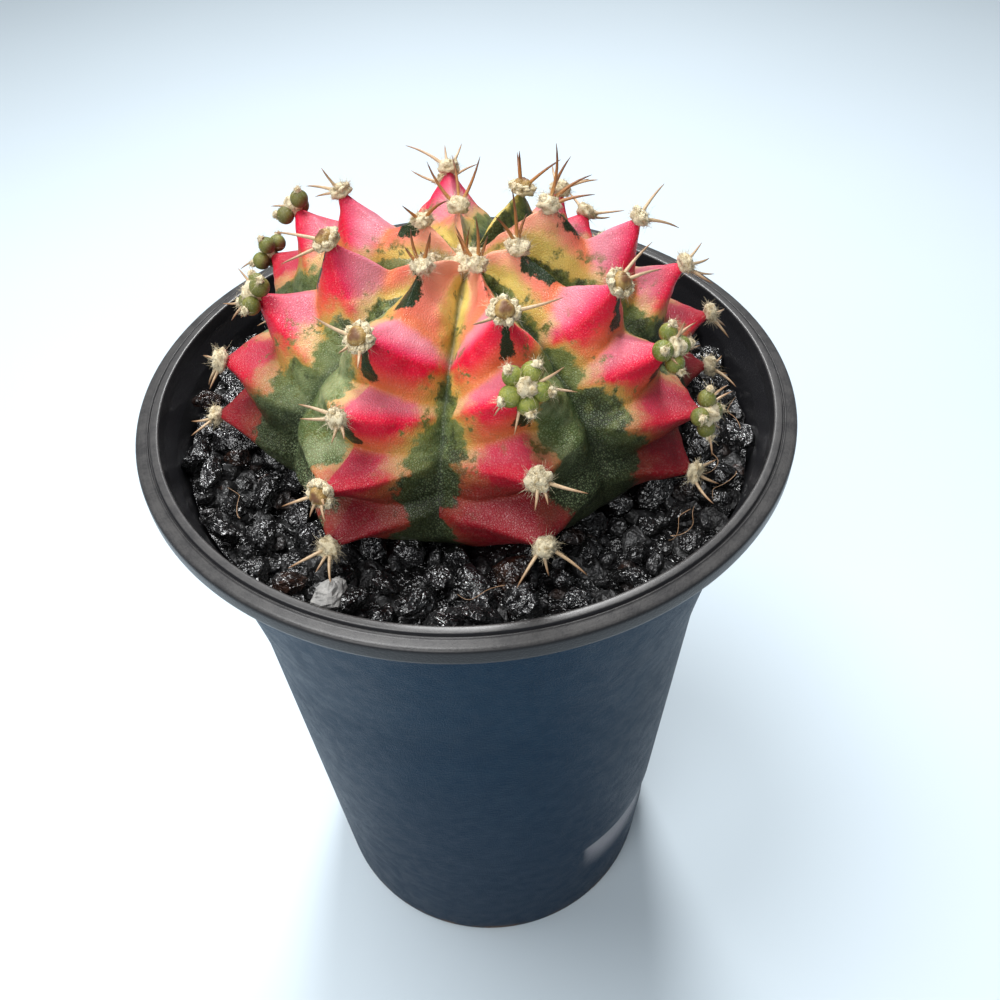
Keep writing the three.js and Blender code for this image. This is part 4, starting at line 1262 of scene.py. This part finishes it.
class CACTUS_OT_gravel(bpy.types.Operator):
    """Lay a bed of broken lava stones between the pot's wall and the plant"""

    bl_idname = "potted_cactus.gravel"
    bl_label = "Gravel"

    def execute(self, context):
        settings = context.scene.potted_cactus.gravel
        random = np.random.default_rng(settings.seed)
        stones = Shells()
        self.bed(stones)
        for floor, spread, keep, scale, deep in GRAVEL_LAYERS:
            spots = self.spots(random, keep * MM)
            height = (floor + spread * random.uniform(-1, 1, len(spots))) * MM
            centres = np.column_stack([spots, height])
            share = random.uniform(0, 1, len(spots)) ** STONE_SIZE_POWER
            size = mix(settings.smallest, settings.largest, share) * scale
            points = self.stones(random, centres, size)
            tint = random.uniform(0, 1, (len(spots), 1))
            stones.add(points, STONE_RINGS, STONE_SIDES, tint=tint, deep=deep)
        made = stones.piece("gravel_stones", [stone_material("Lava", settings, False)], False)
        dress(made, "lava_gravel", "gravel")
        self.pale_stone(random, settings)
        return {"FINISHED"}

    def pale_stone(self, random, settings):
        """The one pale stone, near the rim at the front left."""
        azimuth, distance, height, size = PALE_STONE
        place = polar(distance, math.radians(azimuth), height)
        points = self.stones(random, place[None], np.array([size]), PALE_RINGS, PALE_SIDES)
        stone = Shells()
        stone.add(points, PALE_RINGS, PALE_SIDES, deep=0.0)
        dress(stone.piece("pale_stone", [stone_material("Pale stone", settings, True)], False), "lava_gravel")

    def bed(self, stones):
        """A low ring that closes the view between the stones: a square section turned round the axis."""
        low, top = GRAVEL_BOTTOM, GRAVEL_BOTTOM + BED_DEPTH
        outer = wall_radius(top) - WALL - FIT
        section = np.array([(BED_INSIDE, low), (outer - MM, low), (outer, top), (BED_INSIDE, top)])
        ring = turned(section, BED_SIDES)
        part, side = np.meshgrid(np.arange(len(section)), np.arange(BED_SIDES), indexing="ij")
        here, after = part * BED_SIDES, (part + 1) % len(section) * BED_SIDES
        onward = (side + 1) % BED_SIDES
        quads = np.stack([here + side, here + onward, after + onward, after + side], -1).reshape(-1, 4)
        stones.points.append(ring.reshape(-1, 3))
        stones.quads.append(quads + stones.count)
        stones.looks[0].append(np.zeros(len(quads), int))
        stones.count += len(quads)

    def spots(self, random, keep):
        """Places for stones by chance, none nearer to another than keep, from the plant to the wall."""
        azimuth = np.radians(np.linspace(-180, 180, 361))
        reach = plant_reach(np.degrees(azimuth), PLANT_LINE)
        taken = np.zeros((0, 2))
        outer = wall_radius(GRAVEL_TOP) - WALL - STONE_WALL_GAP
        for _ in range(STONE_TRIES):
            turn = random.uniform(-math.pi, math.pi)
            radius = math.sqrt(random.uniform(STONE_INSIDE ** 2, outer ** 2))
            if radius < np.interp(turn, azimuth, reach) + STONE_PLANT_GAP:
                continue
            spot = np.array([radius * math.sin(turn), -radius * math.cos(turn)])
            if len(taken) == 0 or np.min(np.hypot(*(taken - spot).T)) > keep:
                taken = np.vstack([taken, spot])
        return taken

    def stones(self, random, centres, size, rings=STONE_RINGS, sides=STONE_SIDES):
        """Broken stones: in each direction the surface is the nearest of some random planes, never past a
        ball, with a little roughness. Each stone is stretched, flattened and turned by chance."""
        directions = ball(rings, sides)
        count = len(centres)
        planes = unit(random.normal(size=(count, STONE_PLANES, 3)))
        reach = random.uniform(*PLANE_REACH, (count, STONE_PLANES))
        facing = np.einsum("pk,cfk->cpf", directions, planes)
        cut = np.where(facing > GRAZING, reach[:, None] / np.maximum(facing, GRAZING), np.inf).min(-1)
        radius = np.minimum(cut, STONE_BALL) * (1 + STONE_ROUGH * random.normal(size=cut.shape))
        stretch = np.stack([random.uniform(*limits, count) for limits in STONE_STRETCH], -1)
        points = directions * radius[..., None] * stretch[:, None] * size[:, None, None]
        tilt = random.uniform(-STONE_TILT, STONE_TILT, (count, 2))
        turn = random.uniform(0, 2 * math.pi, count)
        for axis, angles in enumerate((*tilt.T, turn)):
            points = turn_about(points, axis, angles)
        return points + centres[:, None]


def turn_about(points, axis, angles):
    """Each group of points turned about one axis by its own angle."""
    a, b = [(1, 2), (2, 0), (0, 1)][axis]
    turned_points = points.copy()
    cosine, sine = np.cos(angles)[:, None], np.sin(angles)[:, None]
    turned_points[..., a] = cosine * points[..., a] - sine * points[..., b]
    turned_points[..., b] = sine * points[..., a] + cosine * points[..., b]
    return turned_points


def skin_columns():
    """Rib number and side of every column of the skin's grid, from rib to rib."""
    side = np.arange(-SKIN_SIDE_STEPS, SKIN_SIDE_STEPS) / SKIN_SIDE_STEPS
    return np.repeat(np.arange(len(RIBS)), len(side)), np.tile(side, len(RIBS))


def plant_reach(azimuths, height):
    """How far the skin reaches from the pot's axis at a height near the gravel, for azimuths in degrees."""
    rib, side = skin_columns()
    place = np.linspace(AREOLES_PER_RIB - 0.5, LAST_PLACE, 30)[:, None]
    grid = skin(rib, side, place)
    nearest = np.abs(grid[..., 2] - height).argmin(0)
    line = grid[nearest, np.arange(grid.shape[1])]
    angle = np.degrees(np.arctan2(line[:, 0], -line[:, 1]))
    order = np.argsort(angle)
    return np.interp(azimuths, angle[order], np.hypot(line[:, 0], line[:, 1])[order], period=360)


class CACTUS_OT_skin(bpy.types.Operator):
    """Grow the plant's ribbed skin from the crown down to the root"""

    bl_idname = "potted_cactus.skin"
    bl_label = "Plant"

    def execute(self, context):
        settings = context.scene.potted_cactus.plant
        rib, side = skin_columns()
        rows = LAST_PLACE * SKIN_ROWS_PER_PLACE - SKIN_TOP_ROWS
        place = (LAST_PLACE - np.arange(rows) / SKIN_ROWS_PER_PLACE)[:, None]
        grid = skin(rib, side, place)
        grid = soften(soften(grid, 3, 0), 2, 1, wrap=True)
        grid = self.seated(self.lumpy(grid))
        body = Shells()
        rings = np.concatenate([self.root(grid[0]), grid])
        top = grid[-1].mean(0)
        tip = np.array([PLANT_X, PLANT_Y, RIM_EDGE + ROOT_TIP * MM])
        values = {}
        for name, whole in self.marks(rib, side, place, grid).items():
            below = np.repeat(whole[:1], len(ROOT), axis=0)
            values[name] = np.concatenate([[whole[0, 0]], below.ravel(), whole.ravel(), [whole[-1, 0]]])
        body.add(closed(tip[None], rings[None], top[None]), len(rings), len(rib), **values)
        dress(body.piece("cactus_body", [skin_material(settings)]), "skin", "cactus")
        return {"FINISHED"}

    def lumpy(self, grid):
        """The skin with low swells: smooth random waves of two lengths along its normals."""
        swell = sum(height * ripple(grid, wavelength, seed) for height, wavelength, seed in SWELLS)
        return grid + grid_normals(grid) * swell[..., None]

    def seated(self, grid):
        """The skin drawn out to each areole: the point of its crest moves there, and those near it follow
        by a bell-shaped share."""
        for number, areole in enumerate(AREOLES):
            rib, place = divmod(number, AREOLES_PER_RIB)
            row = (LAST_PLACE - place - 1) * SKIN_ROWS_PER_PLACE
            crest_point = grid[row, (2 * rib + 1) * SKIN_SIDE_STEPS]
            move = areole.place - crest_point
            far = np.linalg.norm(grid - crest_point, axis=-1) / SEAT_REACH
            grid = grid + move * np.exp(-far ** 2)[..., None]
        return grid

    def root(self, base):
        """Rings of the root under the skin's lowest row: the same columns on circles of their own."""
        middle = np.array([PLANT_X, PLANT_Y])
        out = unit(base[:, :2] - middle)
        rings = []
        for radius, height in reversed(ROOT):
            flat = middle + out * radius * MM
            rings.append(np.column_stack([flat, np.full(len(flat), RIM_EDGE + height * MM)]))
        return np.array(rings)

    def marks(self, rib, side, place, grid):
        """Values that place the colours: shelf over an areole or wall under it, depth in the notch, how far
        past the start of the green, nearness to the crown, the furrow's crease, how pale the green is, the
        painted shade near the gravel, the upper part that is painted brighter, and the dark dashes and
        saddles on the crests."""
        part = place - np.floor(place)
        wide, high = np.ones_like(side), np.ones_like(place)
        across = np.abs(side)
        right = (side >= 0).astype(int)
        over = (place < 1) | (part > NOTCH_PLACE + 0.12 * across ** 2)
        shelf = soften(np.where(over, 1.0, 0.0) * wide, 2, 0)
        starts = np.array([GREEN_START[letter] for letter in RIBS])[rib, right]
        low = np.clip(np.floor(place).astype(int), 0, AREOLES_PER_RIB)
        after = np.minimum(low + 1, AREOLES_PER_RIB)
        column = np.arange(len(rib))
        start = mix(starts[column, low], starts[column, after], place - low)
        near = np.where(place < 1, 1, np.minimum(part, 1 - part))
        brim = np.exp(-(near / BRIM_REACH) ** 2) * (place > 1.5)
        flank = across - start - BRIM * brim + 0.05
        crown = 1 - smooth(*CROWN_ENDS, place + 0.35 * (1 - across))
        pale = np.array([PALENESS.get(letter, (0.3, 0.3)) for letter in RIBS])[rib, right]
        return {
            "shelf": shelf,
            "notch": notch(place) * wide,
            "flank": flank,
            "crown": crown * wide,
            "crease": smooth(*CREASE, across) * high,
            "pale": pale * high,
            "low": smooth(*LOW_STARTS, place) * wide,
            "upper": (1 - smooth(*UPPER_ENDS, place)) * wide,
            "dash": self.dashes(rib, place, grid),
            "saddle": self.saddles(place, grid),
        }

    def dashes(self, rib, place, grid):
        """A narrow upright bar under each areole, rounded at its lower end."""
        part = place - np.floor(place)
        number = np.clip(np.floor(place).astype(int), 0, AREOLES_PER_RIB)
        crest_line = grid[:, SKIN_SIDE_STEPS::2 * SKIN_SIDE_STEPS]
        width = DASH_WIDTH * (1 + DASH_GROWTH * smooth(0.25, 0.5, part))
        off = np.linalg.norm(grid - crest_line[:, rib], axis=-1) / width
        end = np.clip((part - DASH_END) / DASH_ROUND, 0, 2)
        bar = 1 - smooth(0.1, 1.7, np.hypot(off, 1.2 * end ** 2))
        weights = np.array([(0, *DASHES[letter], 0) for letter in RIBS])[rib, number]
        return bar * smooth(0.02, 0.1, part) * weights

    def saddles(self, place, grid):
        """Lens-shaped patches along the crests between the first two areoles."""
        total = np.zeros(grid.shape[:2])
        for letter, (shift, begin, stop, half) in SADDLES.items():
            number = list(RIBS).index(letter)
            middle = grid[:, [round((2 * number + 1 + shift) * SKIN_SIDE_STEPS)]]
            off = np.linalg.norm(grid - middle, axis=-1) / (half * MM)
            run = (place - 1 - begin) / (stop - begin) * 2 - 1
            lens = 1 - smooth(0.4, 1.5, np.hypot(off, run ** 2))
            total = np.maximum(total, lens * (np.abs(run) < 1.4))
        return total


class Tuft(Shells):
    """The shells of one areole, in millimetres along its own directions. Its looks are the material numbers
    of wool, spines and balls."""

    def __init__(self, areole, looks=(0, 1, 2)):
        super().__init__()
        self.areole, self.random = areole, np.random.default_rng(areole.seed)
        self.wool_look, self.spine_look, self.ball_look = looks

    def spines(self, sets, radius):
        """Adds round spines, a little swollen at the foot and drawn out to a fine point. Each runs straight
        out along its fan and rise, plus a bow to one side: a parabola that is 0 at foot and tip."""
        fan, rise, length = np.array(sets, float).T
        fan, rise = np.radians(fan), np.radians(rise)
        ahead = polar(np.cos(rise), fan, np.sin(rise))
        sideways = unit(np.cross(ahead, self.random.normal(size=ahead.shape)))
        bow = sideways * self.random.uniform(*SPINE_BOW, (len(fan), 1))
        way = np.linspace(0, 1, SPINE_STEPS)
        shape = ahead[:, None] * way[:, None] + bow[:, None] * way[:, None] * (1 - way[:, None])
        paths = self.areole.at(shape * length[:, None, None] * SPINE_REACH)
        taper = radius * (1.15 - 0.35 * way) * np.sqrt(np.clip(1.02 - way ** 2.2, 0, 1))
        reach = np.concatenate([[0], np.repeat(way, SPINE_SIDES), [1]])
        self.add_rods(paths, taper, SPINE_SIDES, self.spine_look, along=reach)

    def pad(self, radii, centre, seed, rough=0.16):
        """Adds a wool pad: a flattened ball with lumps of two sizes."""
        directions = ball(PAD_RINGS, PAD_SIDES)
        lumps = 1 + rough * ripple(directions, 0.9, seed) + 0.5 * rough * ripple(directions, 0.35, seed + 1)
        points = directions * lumps[:, None] * radii + centre
        self.add(self.areole.at(points)[None], PAD_RINGS, PAD_SIDES, self.wool_look)

    def wool_ring(self, circle, thick, lift):
        """Adds a ring of wool round a bud: small pads side by side on a circle."""
        seed = self.areole.seed
        for i in range(WOOL_RING_PADS):
            turn = 2 * math.pi * (i + 0.3 * math.sin(seed + 5 * i)) / WOOL_RING_PADS
            middle = (circle * math.cos(turn), circle * math.sin(turn), lift)
            self.pad((thick * 1.25, thick * 1.25, thick), middle, seed + 7 * i, 0.2)

    def fibres(self, radii, centre, count, length=0.8):
        """Adds loose wool fibres: fine three-sided hairs that leave the pad's upper half, bent by chance."""
        random = self.random
        outward = unit(random.normal(size=(count, 3)) * (1, 1, 0.7) + (0, 0, 0.35))
        start = outward * radii * 0.93 + centre
        ahead = unit(outward + 0.75 * random.normal(size=(count, 3)))
        bend = 0.6 * random.normal(size=(count, 3))
        way = np.linspace(0, 1, FIBRE_STEPS)[:, None]
        reach = length * random.uniform(0.35, 1.0, (count, 1, 1))
        paths = self.areole.at(start[:, None] + (ahead[:, None] * way + bend[:, None] * way ** 2) * reach)
        self.add_rods(paths, FIBRE_RADIUS * (1 - 0.75 * way[:, 0]), 3, self.wool_look)

    def ball(self, centre, radius, squash=1.0):
        """Adds a smooth round ball, with its height from 0 to 1 and its age as values."""
        directions = ball(BALL_RINGS, BALL_SIDES)
        points = directions * (radius, radius, radius * squash) + centre
        age = OFFSET_AGE.get(self.areole.name, 0)
        self.add(self.areole.at(points)[None], BALL_RINGS, BALL_SIDES, self.ball_look,
                 height=(directions[:, 2] + 1) / 2, age=age)


class CACTUS_OT_areoles(bpy.types.Operator):
    """Set a wool cushion with its spray of spines on every areole, and the wool of the crown"""

    bl_idname = "potted_cactus.areoles"
    bl_label = "Wool and spines"

    def execute(self, context):
        settings = context.scene.potted_cactus.areoles
        wool, bud = wool_material(settings), bud_material(settings)
        old = spine_material("Spine", settings.spine_foot, settings.spine_middle, settings.spine_tip)
        young = spine_material("Young spine", settings.young_foot, settings.young_middle, settings.young_tip)
        for areole in AREOLES:
            if areole.name in OFFSETS:
                continue
            tuft = Tuft(areole)
            radii, centre = (self.bud if areole.name in BUDS else self.cushion)(tuft)
            tuft.fibres(radii, centre, settings.fibres)
            tuft.spines(spines_of(areole), settings.spine_radius)
            spine = young if areole.number == 1 else old
            made = tuft.piece(f"wool_and_spines_{areole.name}", [wool, spine, bud])
            dress(made, "wool", f"areole_{areole.name}")
        crown = self.crown(settings)
        dress(crown.piece("wool_of_crown", [wool, young]), "wool", "crown_wool")
        return {"FINISHED"}

    def cushion(self, tuft):
        """A lumpy pad. Gives back where its fibres stand."""
        size = tuft.random.uniform(0.85, 1.05)
        radii, centre = np.array(CUSHION) * size, (0, 0, CUSHION_LIFT)
        tuft.pad(radii, centre, tuft.areole.seed)
        for _ in range(CUSHION_LUMPS):
            spot = (*tuft.random.uniform(-CUSHION_SPREAD, CUSHION_SPREAD, 2), 0.85 * size)
            tuft.pad(tuft.random.uniform(*CUSHION_LUMP) * np.array([1, 1, 0.75]), spot, tuft.areole.seed + 3)
        return radii, centre

    def bud(self, tuft):
        """A bud of three lobes on a ball, in its ring of wool. Gives back where its fibres stand."""
        tuft.wool_ring(*BUD_RING)
        tuft.pad(BUD_PAD, (0, 0, 0.1), tuft.areole.seed)
        height, radius, squash = BUD_BALL
        tuft.ball((0, 0, height), radius, squash)
        height, radius, squash = BUD_LOBE
        for turn in tuft.areole.seed + np.arange(BUD_LOBES) * 2 * math.pi / BUD_LOBES:
            centre = (BUD_LOBE_CIRCLE * math.cos(turn), BUD_LOBE_CIRCLE * math.sin(turn), height)
            tuft.ball(centre, radius, squash)
        return BUD_FIBRES

    def crown(self, settings):
        """The crown's wool: one broad pad with smaller ones on it, and its few upright spines."""
        tuft = Tuft(Crown())
        centre = (0, 0, CUSHION_LIFT)
        tuft.pad(np.array(CROWN_WOOL) * (1, 1, 0.8), centre, 50)
        for _ in range(CROWN_LUMPS):
            spot = (*tuft.random.uniform(-CROWN_SPREAD, CROWN_SPREAD, 2), 1.0)
            tuft.pad(tuft.random.uniform(*CROWN_LUMP) * np.array([1, 1, 0.7]), spot, 60)
        tuft.fibres(CROWN_FIBRES, centre, 3 * settings.fibres)
        tuft.spines(CROWN_SPINES, YOUNG_SPINE * settings.spine_radius)
        return tuft


class CACTUS_OT_offsets(bpy.types.Operator):
    """Set the clusters of round offsets, with wool between and on them"""

    bl_idname = "potted_cactus.offsets"
    bl_label = "Offsets"

    def execute(self, context):
        settings = context.scene.potted_cactus.areoles
        looks = [offset_material(settings), bpy.data.materials["Areole wool"], bpy.data.materials["Spine"]]
        for areole in AREOLES:
            if areole.name not in OFFSETS:
                continue
            cluster = Tuft(areole, (1, 2, 0))
            self.cluster(cluster, OFFSETS[areole.name], settings.fibres)
            cluster.spines(spines_of(areole), settings.spine_radius)
            made = cluster.piece(f"offsets_with_wool_{areole.name}", looks)
            dress(made, "offset_skin", f"offsets_{areole.name}")
        return {"FINISHED"}

    def cluster(self, cluster, count, fibres):
        """Balls on a circle, each with a tuft of wool at its tip, round a middle of wool."""
        random, seed = cluster.random, cluster.areole.seed
        middle = (0, 0, OFFSET_WOOL_LIFT)
        cluster.pad(OFFSET_WOOL, middle, seed)
        for i in range(count):
            turn = (i + 0.25) / count * 2 * math.pi
            way = np.array([math.cos(turn), -math.sin(turn), 0])
            radius = OFFSET_RADIUS * random.uniform(0.86, 1.0)
            centre = way * OFFSET_CIRCLE + (0, 0, OFFSET_LIFT)
            cluster.ball(centre, radius)
            tip = centre + radius * unit(way + (0, 0, random.uniform(0.3, 1.1)))
            cluster.pad(OFFSET_TUFT, tip, seed + i, 0.22)
            cluster.fibres(OFFSET_TUFT, tip, fibres // 4, 0.6)
        cluster.fibres(OFFSET_WOOL, middle, fibres // 2)


class CACTUS_OT_rootlets(bpy.types.Operator):
    """Lay a few fine dry rootlets on the gravel"""

    bl_idname = "potted_cactus.rootlets"
    bl_label = "Rootlets"

    def execute(self, context):
        random = np.random.default_rng(31)
        hairs = Shells()
        each = (len(ROOTLETS), 1)
        way = np.linspace(0, 1, ROOTLET_STEPS)
        radius = ROOTLET_CIRCLE + 1.5 * MM * random.uniform(-1, 1, each)
        radius = radius + 0.8 * MM * np.sin(way * 5 + random.uniform(0, 6, each))
        turn = np.radians(ROOTLETS)[:, None] + 0.16 * way * random.choice([-1, 1], each)
        height = ROOTLET_HEIGHT + 0.25 * MM * np.sin(way * 9 + random.uniform(0, 6, each))
        paths = polar(radius, turn, height)
        hairs.add_rods(paths, ROOTLET_RADIUS * (1 - 0.5 * way), ROOTLET_SIDES, along=0.85)
        made = hairs.piece("rootlets", [bpy.data.materials["Spine"]])
        dress(made, "wool")
        return {"FINISHED"}


class CACTUS_OT_stage(bpy.types.Operator):
    """Set the floor, the soft lights and the camera"""

    bl_idname = "potted_cactus.stage"
    bl_label = "Stage"

    def execute(self, context):
        settings = context.scene.potted_cactus.stage
        self.floor(context, settings)
        for name, (place, size) in LAMPS.items():
            self.lamp(context, name.capitalize(), place, size, getattr(settings, name))
        world = bpy.data.worlds.new("Even light")
        world.use_nodes = True
        sky = world.node_tree.nodes["Background"]
        sky.inputs["Color"].default_value = SKY_COLOUR
        sky.inputs["Strength"].default_value = settings.sky
        context.scene.world = world
        context.scene.view_settings.view_transform = "Standard"
        self.camera(context)
        return {"FINISHED"}

    def floor(self, context, settings):
        corners = [(x * FLOOR_HALF, y * FLOOR_HALF, 0) for x, y in ((-1, -1), (1, -1), (1, 1), (-1, 1))]
        mesh = bpy.data.meshes.new("floor")
        mesh.from_pydata(corners, [], [(0, 1, 2, 3)])
        mesh.materials.append(floor_material(settings))
        floor = bpy.data.objects.new("floor", mesh)
        context.scene.collection.objects.link(floor)

    def lamp(self, context, name, place, size, power):
        """A round soft lamp that looks at the rim's middle."""
        light = bpy.data.lights.new(name, "AREA")
        light.shape, light.size, light.energy = "DISK", size, power
        lamp = bpy.data.objects.new(name, light)
        lamp.location = place
        aim = Vector((0, 0, RIM_EDGE)) - Vector(place)
        lamp.rotation_mode = "QUATERNION"
        lamp.rotation_quaternion = aim.to_track_quat("-Z", "Y")
        context.scene.collection.objects.link(lamp)

    def camera(self, context):
        """A camera in front of the pot that looks down over its rim, turned by yaw, pitch and roll."""
        yaw, pitch, roll = CAMERA_YAW, CAMERA_PITCH, CAMERA_ROLL
        ahead = Vector((math.sin(yaw) * math.cos(pitch), math.cos(yaw) * math.cos(pitch), -math.sin(pitch)))
        right = Vector((math.cos(yaw), -math.sin(yaw), 0))
        up = right.cross(ahead)
        x = math.cos(roll) * right + math.sin(roll) * up
        y = -math.sin(roll) * right + math.cos(roll) * up
        data = bpy.data.cameras.new("Camera")
        data.sensor_width, data.lens = SENSOR, SENSOR * FOCAL_PIXELS / PICTURE_PIXELS
        data.clip_start, data.clip_end = 0.01, 10
        camera = bpy.data.objects.new("Camera", data)
        place = Vector((0, -CAMERA_BACK, RIM_EDGE + CAMERA_OVER_RIM))
        turn = Matrix((x, y, -ahead)).transposed().to_4x4()
        camera.matrix_world = Matrix.Translation(place) @ turn
        context.scene.collection.objects.link(camera)
        context.scene.camera = camera


class CACTUS_PT_panel(bpy.types.Panel):
    """The steps that build the potted cactus, in order"""

    bl_idname = "CACTUS_PT_panel"
    bl_label = "Potted Moon Cactus"
    bl_space_type = "VIEW_3D"
    bl_region_type = "UI"
    bl_category = "Cactus"

    def draw(self, context):
        for step in STEPS:
            self.layout.operator(step.bl_idname)
        for group in ("pot", "gravel", "plant", "areoles", "stage"):
            settings = getattr(context.scene.potted_cactus, group)
            box = self.layout.box()
            box.label(text=group.capitalize())
            for name in settings.__annotations__:
                box.prop(settings, name)


STEPS = (
    CACTUS_OT_stage,
    CACTUS_OT_pot,
    CACTUS_OT_soil,
    CACTUS_OT_gravel,
    CACTUS_OT_skin,
    CACTUS_OT_areoles,
    CACTUS_OT_offsets,
    CACTUS_OT_rootlets,
)
CLASSES = (
    PotSettings,
    GravelSettings,
    PlantSettings,
    AreoleSettings,
    StageSettings,
    CactusSettings,
    *STEPS,
    CACTUS_PT_panel,
)


def register():
    for item in CLASSES:
        bpy.utils.register_class(item)
    bpy.types.Scene.potted_cactus = bpy.props.PointerProperty(type=CactusSettings)


def unregister():
    del bpy.types.Scene.potted_cactus
    for item in reversed(CLASSES):
        bpy.utils.unregister_class(item)


def main():
    register()
    for step in STEPS:
        getattr(bpy.ops.potted_cactus, step.bl_idname.split(".")[1])()


if __name__ == "__main__":
    main()
